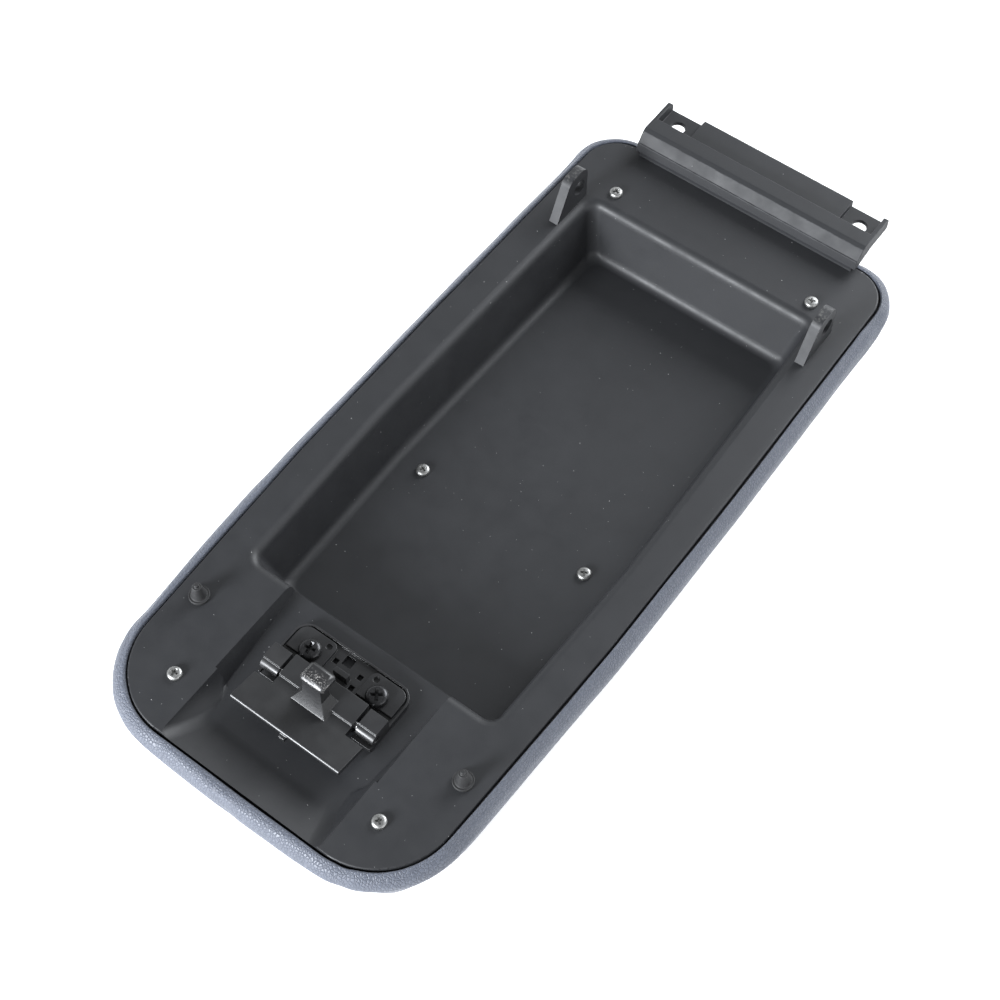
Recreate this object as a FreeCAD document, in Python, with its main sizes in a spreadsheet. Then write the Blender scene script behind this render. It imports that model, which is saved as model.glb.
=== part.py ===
import FreeCAD, Part
import math
import os
import re
import Sketcher
from FreeCAD import Placement, Rotation, Vector

# Center console lid, lying on its padded top with the inner side up.
# X runs across the lid, Y from the latch at the front to the hinge at the rear, Z up.
# The origin is the middle of the flat padded face that the lid rests on.

DRIVING_SIZES = {
    # lid body
    "face_height": 44.0,
    "liner_half_middle": 79.5,
    "liner_half_rear": 77.6,
    "liner_half_front": 74.8,
    "liner_rear": 179.0,
    "liner_front": 178.0,
    "side_knee": 45.0,
    "rear_corner": 17.0,
    "front_corner": 34.0,
    "knee_round": 400.0,
    "liner_wall": 2.4,
    "liner_edge_round": 0.8,
    # padded shell
    "roll_bulge": 6.5,
    "roll_round": 6.0,
    "side_draft_run": 9.0,
    "crown_round": 13.0,
    "cover_skin": 1.0,
    "foam_thick": 5.0,
    "board_wall": 2.5,
    "soft_gap": 0.3,
    "edge_gap": 0.6,
    "mouth_depth": 1.2,
    # recess
    "recess_floor_gap": 3.5,
    "recess_half_rear": 59.0,
    "recess_half_middle": 63.0,
    "recess_half_front": 61.0,
    "recess_rear": 139.4,
    "recess_knee": 10.0,
    "recess_front": 97.0,
    "recess_draft_run": 4.5,
    "recess_corner": 5.0,
    "recess_rim_round": 4.5,
    "recess_floor_round": 4.5,
    # latch channel and finger scoop
    "channel_half": 41.0,
    "channel_depth": 8.0,
    "channel_flat_end": 144.0,
    "scoop_depth": 8.2,
    "scoop_lip": 2.2,
    "scoop_overrun": 5.0,
    "scoop_rear": 133.8,
    "scoop_side_run": 8.0,
    "scoop_front_run": 24.0,
    "scoop_rear_run": 14.0,
    "scoop_corner": 5.0,
    # stay lugs
    "lug_inner": 63.8,
    "lug_thick": 4.5,
    "lug_foot": 117.5,
    "lug_top_start": 128.4,
    "lug_rear": 141.5,
    "lug_height": 20.0,
    "lug_round": 5.5,
    "lug_bore": 4.0,
    "lug_bore_place": 135.3,
    "lug_bore_height": 10.5,
    # liner screws
    "screw_rear_across": 52.9,
    "screw_rear_along": 149.9,
    "screw_front_across": 51.6,
    "screw_front_along": 156.0,
    "screw_floor_across": 43.4,
    "screw_floor_along": 9.3,
    "screw_head": 3.1,
    "screw_head_height": 2.2,
    "screw_shank": 1.6,
    "screw_length": 4.2,
    "screw_clearance": 0.3,
    "thread_clearance": 0.05,
    "boss_radius": 4.2,
    # latch
    "pin_along": 129.3,
    "pin_rise": 5.0,
    "pin_radius": 1.5,
    "pin_clearance": 0.05,
    "pin_end_play": 0.6,
    "block_inner": 19.9,
    "block_outer": 28.7,
    "block_rear": 121.5,
    "block_height": 9.0,
    "barrel_radius": 2.9,
    "base_half": 28.7,
    "base_front": 133.6,
    "base_rear": 104.2,
    "base_thick": 2.0,
    "base_corner": 7.0,
    "base_rim": 1.0,
    "base_rim_height": 3.2,
    "screw_pad_inner": 9.0,
    "screw_pad_outer": 26.9,
    "screw_pad_front": 118.2,
    "screw_pad_rear": 106.0,
    "screw_pad_thick": 3.7,
    "screw_pad_round": 4.5,
    "screw_pad_lobe": 3.0,
    "locator_across": 12.1,
    "locator_along": 108.8,
    "locator_bore": 1.3,
    "locator_depth": 1.2,
    "latch_screw_across": 17.1,
    "latch_screw_along": 114.8,
    "latch_screw_head": 4.75,
    "latch_screw_head_height": 3.2,
    "latch_screw_shank": 2.45,
    "latch_screw_length": 12.0,
    "latch_boss_radius": 5.0,
    "latch_boss_depth": 10.0,
    "tool_hole_small": 1.1,
    "tool_hole_large": 2.2,
    "catch_tab_half": 3.4,
    "catch_tab_front": 117.0,
    "catch_tab_rear": 114.6,
    "catch_tab_height": 7.0,
    # lever
    "lever_half": 18.5,
    "lever_rear": 120.8,
    "lever_top": 9.3,
    "lever_thick": 2.6,
    "hub_radius": 3.5,
    "hub_clearance": 0.5,
    "paddle_half": 27.4,
    "paddle_rear": 136.0,
    "paddle_front": 150.8,
    "paddle_rise": 1.6,
    "paddle_step": 1.2,
    "plate_front": 131.6,
    "paddle_thick": 2.8,
    "lip_round": 1.2,
    "nub_half": 1.5,
    "nub_reach": 1.5,
    "nub_drop": 2.2,
    "hook_base_half": 9.4,
    "hook_base_front": 137.2,
    "hook_base_rear": 126.6,
    "hook_waist_half": 5.0,
    "hook_waist_front": 133.2,
    "hook_waist_rise": 4.5,
    "hook_neck_half": 4.4,
    "hook_neck_front": 132.0,
    "hook_neck_rear": 127.6,
    "hook_head_half": 6.0,
    "hook_head_front": 132.5,
    "hook_head_rear": 123.7,
    "hook_head_thick": 3.4,
    "hook_height": 17.0,
    "hook_head_corner": 1.6,
    "hook_head_chamfer": 1.6,
    # latch spring
    "spring_wire": 0.35,
    "spring_coil": 2.1,
    "spring_pitch": 1.1,
    "spring_turns": 3.0,
    "spring_pocket": 2.8,
    "spring_pocket_half": 4.4,
    "spring_leg": 9.0,
    "spring_leg_tilt": 12.0,
    # rubber stops
    "stop_across": 67.0,
    "stop_along": 124.0,
    "stop_flange": 4.4,
    "stop_flange_height": 1.6,
    "stop_shoulder": 3.3,
    "stop_tip": 1.9,
    "stop_height": 8.2,
    "nipple_radius": 1.0,
    "nipple_height": 1.6,
    "stop_stem": 2.0,
    "stop_barb": 3.0,
    "stop_barb_height": 2.0,
    # hinge
    "hinge_inset": 3.1,
    "hinge_gap": 2.6,
    "film_thick": 0.6,
    "bracket_half": 59.5,
    "bracket_wall": 2.0,
    "skirt_lead": 0.7,
    "skirt_knee_run": 1.0,
    "skirt_knee_rise": 4.4,
    "skirt_ledge": 0.5,
    "skirt_top_run": 5.0,
    "skirt_top_rise": 9.0,
    "bracket_rise": 10.0,
    "ridge_rear_run": 14.3,
    "floor_rise": 4.6,
    "floor_front_run": 15.8,
    "bracket_reach": 27.8,
    "end_wall": 2.0,
    "end_wall_reach": 26.0,
    "pad_half": 40.5,
    "pad_rise": 2.6,
    "pad_extra": 0.9,
    "mount_hole": 3.5,
    "mount_hole_across": 49.4,
    "mount_hole_run": 19.6,
    "ridge_round": 1.2,
    "rib_half": 0.9,
    "rib_spacing": 19.0,
}
RIBS_EACH_SIDE = 2
PADDING_STEPS = 2
RECESS_STEPS = 4
SCOOP_STEPS = 5
SCOOP_LEAN = 0.4
COIL_STEPS = 48
LEG_STEPS = 4

# Shares of a screw head's height and radius.
HEAD_EDGE = 0.4
SLOT_DEPTH = 0.5
SLOT_REACH = 0.55
SLOT_HALF_WIDTH = 0.14

doc = FreeCAD.newDocument("console_lid")
sheet = doc.addObject("Spreadsheet::Sheet", "Sizes")
for row, (alias, number) in enumerate(DRIVING_SIZES.items(), start=1):
    sheet.set(f"A{row}", alias)
    sheet.set(f"B{row}", str(number))
    sheet.setAlias(f"B{row}", alias)
doc.recompute()

# Places that several pieces share, worked out from the driving sizes.
LINER_UNDER = "(face_height - liner_wall)"
CHANNEL_FLOOR = "(face_height - channel_depth)"
SCREW_PAD_TOP = "(face_height - channel_depth + screw_pad_thick)"
LEVER_TOP = "(face_height - channel_depth + lever_top)"
PADDLE_LOW = f"({LEVER_TOP} - paddle_step)"
HOOK_TOP = "(face_height + hook_height)"
BRACKET_LOW = "(face_height + hinge_gap)"
HINGE_Y = "(liner_rear - hinge_inset)"
BOARD_INSET = "(cover_skin + soft_gap + foam_thick + soft_gap)"
RECESS_FLOOR = f"({BOARD_INSET} + board_wall + recess_floor_gap + liner_wall)"
PIN_Y = "-(pin_along)"
PIN_Z = f"({CHANNEL_FLOOR} + pin_rise)"

subparts = []


def linked(expression):
    """The expression with every size name pointing at its sheet cell."""
    return re.sub(
        r"[a-z_]+",
        lambda word: "Sizes." + word.group(0) if word.group(0) in DRIVING_SIZES else word.group(0),
        str(expression),
    )


def value(expression):
    """The number that an expression of size names has now."""
    return float(sheet.evalExpression(linked(expression)))


def bind(item, field, expression):
    item.setExpression(field, linked(expression))


def new_body(name):
    body = doc.addObject("PartDesign::Body", name)
    body.Label = name
    return body


def keep(item, name):
    """Marks an object as a finished sub-part with its own label."""
    item.Label = name
    subparts.append(item)
    return item


def new_sketch(body, name, role, offset="0"):
    sketch = body.newObject("Sketcher::SketchObject", name)
    plane = next(item for item in body.Origin.OriginFeatures if item.Role == role)
    sketch.AttachmentSupport = (plane, [""])
    sketch.MapMode = "FlatFace"
    bind(sketch, "AttachmentOffset.Base.z", offset)
    return sketch


def place_point(sketch, geometry, position, across, along):
    for kind, expression in (("DistanceX", across), ("DistanceY", along)):
        constraint = Sketcher.Constraint(kind, -1, 1, geometry, position, value(expression))
        index = sketch.addConstraint(constraint)
        sketch.setExpression(f"Constraints[{index}]", linked(expression))


def polygon(sketch, corners):
    points = [Vector(value(x), value(y), 0) for x, y in corners]
    following = points[1:] + points[:1]
    lines = []
    for start, end in zip(points, following):
        lines.append(sketch.addGeometry(Part.LineSegment(start, end), False))
    for line, after in zip(lines, lines[1:] + lines[:1]):
        sketch.addConstraint(Sketcher.Constraint("Coincident", line, 2, after, 1))
    for line, (x, y) in zip(lines, corners):
        place_point(sketch, line, 1, x, y)


def rounded_polygon(sketch, corners, radii):
    """A convex outline, counter-clockwise; a corner with a radius carries a tangent arc."""
    points = [Vector(value(x), value(y), 0) for x, y in corners]
    following = points[1:] + points[:1]
    starts = []
    ends = []
    arcs = []
    for before, point, after, radius in zip(points[-1:] + points[:-1], points, following, radii):
        towards = (point - before).normalize()
        onwards = (after - point).normalize()
        turn = towards.getAngle(onwards)
        size = 0 if radius is None else value(radius)
        starts.append(point - towards * size * math.tan(turn / 2))
        ends.append(point + onwards * size * math.tan(turn / 2))
        if radius is None:
            arcs.append(None)
            continue
        centre = point + (onwards - towards).normalize() * size / math.cos(turn / 2)
        spoke_in = starts[-1] - centre
        spoke_out = ends[-1] - centre
        ring = Part.Circle(centre, Vector(0, 0, 1), size)
        arc = Part.ArcOfCircle(ring, math.atan2(spoke_in.y, spoke_in.x), math.atan2(spoke_out.y, spoke_out.x))
        arcs.append(sketch.addGeometry(arc, False))
    lines = []
    for end, start in zip(ends, starts[1:] + starts[:1]):
        lines.append(sketch.addGeometry(Part.LineSegment(end, start), False))
    for number, (corner, radius) in enumerate(zip(corners, radii)):
        line_in = lines[number - 1]
        line_out = lines[number]
        if radius is None:
            sketch.addConstraint(Sketcher.Constraint("Coincident", line_in, 2, line_out, 1))
            place_point(sketch, line_out, 1, *corner)
            continue
        sketch.addConstraint(Sketcher.Constraint("Tangent", line_in, 2, arcs[number], 1))
        sketch.addConstraint(Sketcher.Constraint("Tangent", arcs[number], 2, line_out, 1))
        mark = sketch.addGeometry(Part.Point(points[number]), True)
        sketch.addConstraint(Sketcher.Constraint("PointOnObject", mark, 1, line_in))
        sketch.addConstraint(Sketcher.Constraint("PointOnObject", mark, 1, line_out))
        place_point(sketch, mark, 1, *corner)
        index = sketch.addConstraint(Sketcher.Constraint("Radius", arcs[number], value(radius)))
        sketch.setExpression(f"Constraints[{index}]", linked(radius))


def rectangle(sketch, low_x, high_x, low_y, high_y):
    polygon(sketch, [(low_x, low_y), (high_x, low_y), (high_x, high_y), (low_x, high_y)])


def circle(sketch, x, y, radius):
    centre = Vector(value(x), value(y), 0)
    ring = sketch.addGeometry(Part.Circle(centre, Vector(0, 0, 1), value(radius)), False)
    place_point(sketch, ring, 3, x, y)
    index = sketch.addConstraint(Sketcher.Constraint("Radius", ring, value(radius)))
    sketch.setExpression(f"Constraints[{index}]", linked(radius))


def both_sides(corners):
    """A closed outline from its right half, given front to rear."""
    left = [(f"-({x})", y) for x, y in reversed(corners)]
    return corners + left


def extrude(body, kind, name, sketch, length, side="One side", reverse=False):
    feature = body.newObject(f"PartDesign::{kind}", name)
    feature.Profile = sketch
    feature.SideType = side
    feature.Reversed = reverse
    bind(feature, "Length", length)
    doc.recompute()
    return feature


def pad(body, name, sketch, length, side="One side", reverse=False):
    return extrude(body, "Pad", name, sketch, length, side, reverse)


def pocket(body, name, sketch, length, side="One side", reverse=False):
    before = body.Shape.Volume
    feature = extrude(body, "Pocket", name, sketch, length, side, reverse)
    if body.Shape.Volume >= before:
        raise RuntimeError(f"{name} cuts nothing")
    return feature


def loft(body, kind, name, sketches):
    before = 0 if body.Shape.isNull() else body.Shape.Volume
    feature = body.newObject(f"PartDesign::{kind}", name)
    feature.Profile = sketches[0]
    feature.Sections = sketches[1:]
    feature.Ruled = True
    doc.recompute()
    if kind == "SubtractiveLoft" and body.Shape.Volume >= before:
        raise RuntimeError(f"{name} cuts nothing")
    return feature


def edge_names(shape, wanted):
    return [f"Edge{i}" for i, edge in enumerate(shape.Edges, start=1) if wanted(edge.BoundBox)]


def dress(body, kind, name, size_field, size_expression, wanted):
    """A fillet or chamfer on the edges whose box fits the test."""
    base = body.Tip
    names = edge_names(base.Shape, wanted)
    if not names:
        raise RuntimeError(f"{name} finds no edge")
    feature = body.newObject(f"PartDesign::{kind}", name)
    feature.Base = (base, names)
    bind(feature, size_field, size_expression)
    doc.recompute()
    return feature


def fillet(body, name, radius, wanted):
    return dress(body, "Fillet", name, "Radius", radius, wanted)


def chamfer(body, name, width, wanted):
    return dress(body, "Chamfer", name, "Size", width, wanted)


def near(number, other, slack=0.01):
    return abs(number - other) < slack


def standing(box, least):
    return box.ZLength > least


def level_at(box, height):
    return near(box.ZMin, height) and near(box.ZMax, height)


def lid_outline(sketch, grow="0", knee=None):
    """The lid's outline moved outwards by grow, with its four rounded corners."""
    corners = both_sides([
        (f"liner_half_front + ({grow})", f"-(liner_front + ({grow}))"),
        (f"liner_half_middle + ({grow})", "-(side_knee)"),
        (f"liner_half_middle + ({grow})", "side_knee"),
        (f"liner_half_rear + ({grow})", f"liner_rear + ({grow})"),
    ])
    right = [f"front_corner + ({grow})", knee, knee, f"rear_corner + ({grow})"]
    rounded_polygon(sketch, corners, right + right[::-1])


def quarter_turn(steps):
    """Cosine and sine at even steps of a rounded edge."""
    for step in range(steps + 1):
        angle = math.radians(90 * step / steps)
        yield round(math.cos(angle), 6), round(math.sin(angle), 6)


def stacked_loft(body, kind, name, outline, sections):
    """A loft through outlines at several heights, each grown by its own amount."""
    sketches = []
    for number, (height, grow) in enumerate(sections):
        sketch = new_sketch(body, f"{name}_section_{number}", "XY_Plane", height)
        outline(sketch, grow)
        sketches.append(sketch)
    return loft(body, kind, name, sketches)


def padded_side(inset):
    """Sections of the padded lid from its resting face to its widest line, moved inwards by inset."""
    crown = f"(crown_round - ({inset}))"
    widest = f"roll_bulge - ({inset})"
    sections = []
    for cosine, sine in quarter_turn(PADDING_STEPS):
        height = f"{inset} + {crown} * {1 - cosine}"
        sections.append((height, f"{widest} - side_draft_run - {crown} * {1 - sine}"))
    sections.append(("face_height - roll_round", widest))
    return sections


def rolled_edge(inset):
    """Sections of the rolled edge above the widest line."""
    roll = f"(roll_round - ({inset}))"
    sections = []
    for cosine, sine in list(quarter_turn(PADDING_STEPS))[1:]:
        height = f"face_height - roll_round + {roll} * {sine}"
        sections.append((height, f"roll_bulge - ({inset}) - {roll} * {1 - cosine}"))
    return sections


def lid_prism(name, grow, bottom, height, knee=None):
    """A straight prism of the liner's outline."""
    body = new_body(name)
    sketch = new_sketch(body, name + "_outline", "XY_Plane", bottom)
    lid_outline(sketch, grow, knee)
    pad(body, name + "_pad", sketch, height)
    return body


def cut(name, base, tool):
    feature = doc.addObject("Part::Cut", name)
    feature.Base = base
    feature.Tool = tool
    doc.recompute()
    return feature


def fuse(name, items):
    feature = doc.addObject("Part::MultiFuse", name)
    feature.Shapes = items
    doc.recompute()
    return feature


def liner_screw_places():
    """Across, along and seat height of the six liner screws."""
    places = []
    for side in ("", "-"):
        places.append((f"{side}(screw_rear_across)", "screw_rear_along", "face_height"))
        places.append((f"{side}(screw_front_across)", "-(screw_front_along)", "face_height"))
        places.append((f"{side}(screw_floor_across)", "-(screw_floor_along)", RECESS_FLOOR))
    return places


def cylinder(name, x, y, z, radius, height):
    item = doc.addObject("Part::Cylinder", name)
    bind(item, "Radius", radius)
    bind(item, "Height", height)
    bind(item, "Placement.Base.x", x)
    bind(item, "Placement.Base.y", y)
    bind(item, "Placement.Base.z", z)
    return item


def scoop_levels(drop):
    """Heights of the scoop from its floor to above its brim, each with its share of the slopes' run."""
    levels = []
    for step in range(SCOOP_STEPS + 1):
        out = step / SCOOP_STEPS
        rise = round(out * (SCOOP_LEAN + (1 - SCOOP_LEAN) * out), 6)
        height = f"face_height - scoop_depth - ({drop}) + (scoop_depth + scoop_lip) * {rise}"
        levels.append((height, round(1 - out, 6)))
    return levels


def scoop_front(drawn):
    return f"-(liner_front + scoop_overrun - scoop_front_run * {drawn})"


def notch_for_channel(body, name):
    """Room in the front wall for the underside of the liner's finger scoop."""
    top = "face_height + 2 * roll_round"
    slope = [(scoop_front(drawn), height) for height, drawn in scoop_levels("liner_wall + soft_gap")]
    sketch = new_sketch(body, name + "_profile", "YZ_Plane")
    polygon(sketch, [(scoop_front(1), top)] + slope + [(scoop_front(0), top)])
    pocket(body, name, sketch, "2 * (channel_half + liner_wall + soft_gap)", "Symmetric")


def make_cover():
    """Leatherette skin, open where the liner closes the lid."""
    body = new_body("vinyl_cover")
    stacked_loft(body, "AdditiveLoft", "cover_outside", lid_outline, padded_side("0") + rolled_edge("0"))
    mouth = [("face_height - mouth_depth", "edge_gap"), ("face_height + roll_round", "edge_gap")]
    inside = padded_side("cover_skin") + rolled_edge("cover_skin")[:-1] + mouth
    stacked_loft(body, "SubtractiveLoft", "cover_inside", lid_outline, inside)
    keep(body, "vinyl_cover")


def make_foam():
    """Padding between the skin and the board, ending under the liner's edge."""
    inset = "(cover_skin + soft_gap)"
    deep = f"({inset} + foam_thick)"
    body = new_body("foam_pad")
    outside = padded_side(inset) + rolled_edge(inset)[:-1]
    stacked_loft(body, "AdditiveLoft", "foam_outside", lid_outline, outside)
    inside = padded_side(deep) + [("face_height + roll_round", f"roll_bulge - {deep}")]
    stacked_loft(body, "SubtractiveLoft", "foam_inside", lid_outline, inside)
    notch_for_channel(body, "foam_notch")
    keep(body, "foam_pad")


def make_board():
    """Moulded tray that carries the padding, with the bosses that the liner screws bite into."""
    deep = f"({BOARD_INSET} + board_wall)"
    body = new_body("top_board")
    outside = padded_side(BOARD_INSET) + [(LINER_UNDER, f"roll_bulge - {BOARD_INSET}")]
    stacked_loft(body, "AdditiveLoft", "board_outside", lid_outline, outside)
    inside = padded_side(deep) + [("face_height + roll_round", f"roll_bulge - {deep}")]
    stacked_loft(body, "SubtractiveLoft", "board_inside", lid_outline, inside)
    notch_for_channel(body, "board_notch")
    for number, (x, y, seat) in enumerate(liner_screw_places()):
        boss_top = f"({seat} - liner_wall)"
        sketch = new_sketch(body, f"boss_{number}_outline", "XY_Plane", boss_top)
        circle(sketch, x, y, "boss_radius")
        pad(body, f"boss_{number}", sketch, f"{boss_top} - {deep} + board_wall / 2", reverse=True)
        sketch = new_sketch(body, f"bore_{number}_outline", "XY_Plane", boss_top)
        circle(sketch, x, y, "screw_shank + thread_clearance")
        pocket(body, f"bore_{number}", sketch, "screw_length + screw_clearance")
    keep(body, "top_board")


def recess_outline(sketch, grow="0"):
    """The recess outline moved outwards by grow; corners below the rim keep one radius."""
    corners = both_sides([
        (f"recess_half_front + ({grow})", f"-(recess_front + ({grow}))"),
        (f"recess_half_middle + ({grow})", "-(recess_knee)"),
        (f"recess_half_rear + ({grow})", f"recess_rear + ({grow})"),
    ])
    corner = "recess_corner" if value(grow) < 0 else f"recess_corner + ({grow})"
    rounded_polygon(sketch, corners, [corner, None, corner, corner, None, corner])


def make_channel(name, wall):
    """The space of the finger scoop and the latch seat, grown by wall at the sides and below."""
    body = new_body(name)
    sketches = []
    for height, drawn in scoop_levels(wall):
        sketch = new_sketch(body, name + "_scoop_level", "XY_Plane", height)
        half = f"channel_half + {wall} - scoop_side_run * {drawn}"
        corners = both_sides([(half, scoop_front(drawn)), (half, f"-(scoop_rear + scoop_rear_run * {drawn})")])
        rounded_polygon(sketch, corners, ["scoop_corner"] * len(corners))
        sketches.append(sketch)
    loft(body, "AdditiveLoft", name + "_scoop", sketches)

    seat = new_sketch(body, name + "_seat_outline", "XY_Plane", f"{CHANNEL_FLOOR} - {wall}")
    rectangle(seat, f"-(channel_half + {wall})", f"channel_half + {wall}",
              f"-(channel_flat_end + {wall})", "-(recess_front - recess_draft_run - recess_floor_round)")
    pad(body, name + "_seat", seat, f"2 * channel_depth + {wall}")
    return body


def make_liner():
    """Moulded inner panel with the recess, the latch channel, the scoop and the stay lugs."""
    flange = lid_prism("liner_flange", "0", LINER_UNDER, "liner_wall", "knee_round")
    top = value("face_height")
    fillet(flange, "liner_edge", "liner_edge_round", lambda box: level_at(box, top))
    tub = new_body("liner_tub")
    stacked_loft(tub, "AdditiveLoft", "tub", recess_outline, [
        (f"{RECESS_FLOOR} - liner_wall", "liner_wall - recess_draft_run - recess_floor_round / 2"),
        (f"{RECESS_FLOOR} + recess_floor_round / 2", "liner_wall - recess_draft_run"),
        (f"{LINER_UNDER} - recess_rim_round", "liner_wall"),
        (LINER_UNDER, "liner_wall + recess_rim_round / 3"),
    ])

    channel = make_channel("channel_under", "liner_wall")
    limit = lid_prism("channel_limit", "0", "0", "face_height")
    trough = doc.addObject("Part::Common", "channel_trough")
    trough.Base = channel
    trough.Tool = limit

    bosses = []
    for side in ("", "-"):
        bosses.append(cylinder("latch_boss", f"{side}(latch_screw_across)", "-(latch_screw_along)",
                               f"{CHANNEL_FLOOR} - liner_wall - latch_boss_depth", "latch_boss_radius",
                               "latch_boss_depth + liner_wall / 2"))
    skin = fuse("liner_skin", [flange, tub, trough] + bosses)

    sections = []
    for cosine, sine in quarter_turn(RECESS_STEPS):
        sections.append((f"{RECESS_FLOOR} + recess_floor_round * {1 - cosine}",
                         f"-(recess_draft_run) - recess_floor_round * {1 - sine}"))
    for cosine, sine in quarter_turn(RECESS_STEPS):
        sections.append((f"face_height - recess_rim_round * {1 - sine}", f"recess_rim_round * {1 - cosine}"))
    recess = new_body("recess_space")
    stacked_loft(recess, "AdditiveLoft", "recess", recess_outline, sections)
    open_skin = cut("liner_open", skin, recess)

    holes = [make_channel("channel_space", "0")]
    for number, (x, y, seat) in enumerate(liner_screw_places()):
        holes.append(cylinder(f"liner_hole_{number}", x, y, f"{seat} - 2 * liner_wall",
                              "screw_shank + screw_clearance", "4 * liner_wall"))
    for side in ("", "-"):
        holes.append(cylinder("latch_hole", f"{side}(latch_screw_across)", "-(latch_screw_along)",
                              f"{SCREW_PAD_TOP} - latch_screw_length - screw_clearance",
                              "latch_screw_shank + thread_clearance", "2 * latch_screw_length"))
        holes.append(cylinder("stop_hole", f"{side}(stop_across)", "-(stop_along)",
                              f"{LINER_UNDER} - liner_wall",
                              "stop_stem + thread_clearance", "3 * liner_wall"))
    panel = cut("liner_panel", open_skin, fuse("liner_openings", holes))

    lugs = [make_lug(name, start) for name, start in
            (("lug_right", "lug_inner"), ("lug_left", "-(lug_inner + lug_thick)"))]
    keep(fuse("inner_liner", [panel] + lugs), "inner_liner")


def make_lug(name, start):
    """One upright stay lug with its cross bore."""
    lug = new_body(name)
    sketch = new_sketch(lug, name + "_profile", "YZ_Plane", start)
    polygon(sketch, [
        ("lug_foot", f"{LINER_UNDER} + liner_wall / 4"),
        ("lug_rear", f"{LINER_UNDER} + liner_wall / 4"),
        ("lug_rear", "face_height + lug_height"),
        ("lug_top_start", "face_height + lug_height"),
    ])
    pad(lug, name + "_pad", sketch, "lug_thick")
    crest = value("face_height + lug_height")
    fillet(lug, name + "_crest", "lug_round", lambda box: level_at(box, crest) and box.XLength > 1)
    sketch = new_sketch(lug, name + "_bore_profile", "YZ_Plane", start)
    circle(sketch, "lug_bore_place", "face_height + lug_bore_height", "lug_bore")
    pocket(lug, name + "_bore", sketch, "4 * lug_thick", "Symmetric")
    return lug


def pan_screw(name, head, head_height, shank, length):
    """A pan head screw about Z, its seat at height zero, with a cross recess in the head."""
    body = new_body(name)
    sketch = new_sketch(body, name + "_head", "XY_Plane")
    circle(sketch, "0", "0", head)
    pad(body, name + "_head_pad", sketch, head_height)
    top = value(head_height)
    chamfer(body, name + "_head_edge", f"{head_height} * {HEAD_EDGE}", lambda box: level_at(box, top))
    sketch = new_sketch(body, name + "_shank", "XY_Plane")
    circle(sketch, "0", "0", shank)
    pad(body, name + "_shank_pad", sketch, length, reverse=True)
    reach = f"({head} * {SLOT_REACH})"
    half_width = f"({head} * {SLOT_HALF_WIDTH})"
    for label, wide, deep in (("across", reach, half_width), ("along", half_width, reach)):
        sketch = new_sketch(body, f"{name}_{label}", "XY_Plane", head_height)
        rectangle(sketch, f"-{wide}", wide, f"-{deep}", deep)
        pocket(body, f"{name}_{label}_slot", sketch, f"{head_height} * {SLOT_DEPTH}")
    return body


def place_copies(name, original, places):
    """One node of equal, separate solids."""
    links = []
    for number, (x, y, z) in enumerate(places):
        link = doc.addObject("App::Link", f"{name}_{number}")
        link.LinkedObject = original
        bind(link, "Placement.Base.x", x)
        bind(link, "Placement.Base.y", y)
        bind(link, "Placement.Base.z", z)
        links.append(link)
    group = doc.addObject("Part::Compound", name)
    group.Links = links
    doc.recompute()
    return keep(group, name)


def make_screws():
    liner_screw = pan_screw("liner_screw", "screw_head", "screw_head_height", "screw_shank",
                            "liner_wall + screw_length")
    place_copies("liner_screws", liner_screw, liner_screw_places())
    latch_screw = pan_screw("latch_screw", "latch_screw_head", "latch_screw_head_height", "latch_screw_shank",
                            "latch_screw_length")
    place_copies("latch_screws", latch_screw, [
        (f"{side}(latch_screw_across)", "-(latch_screw_along)", SCREW_PAD_TOP) for side in ("", "-")
    ])


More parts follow.
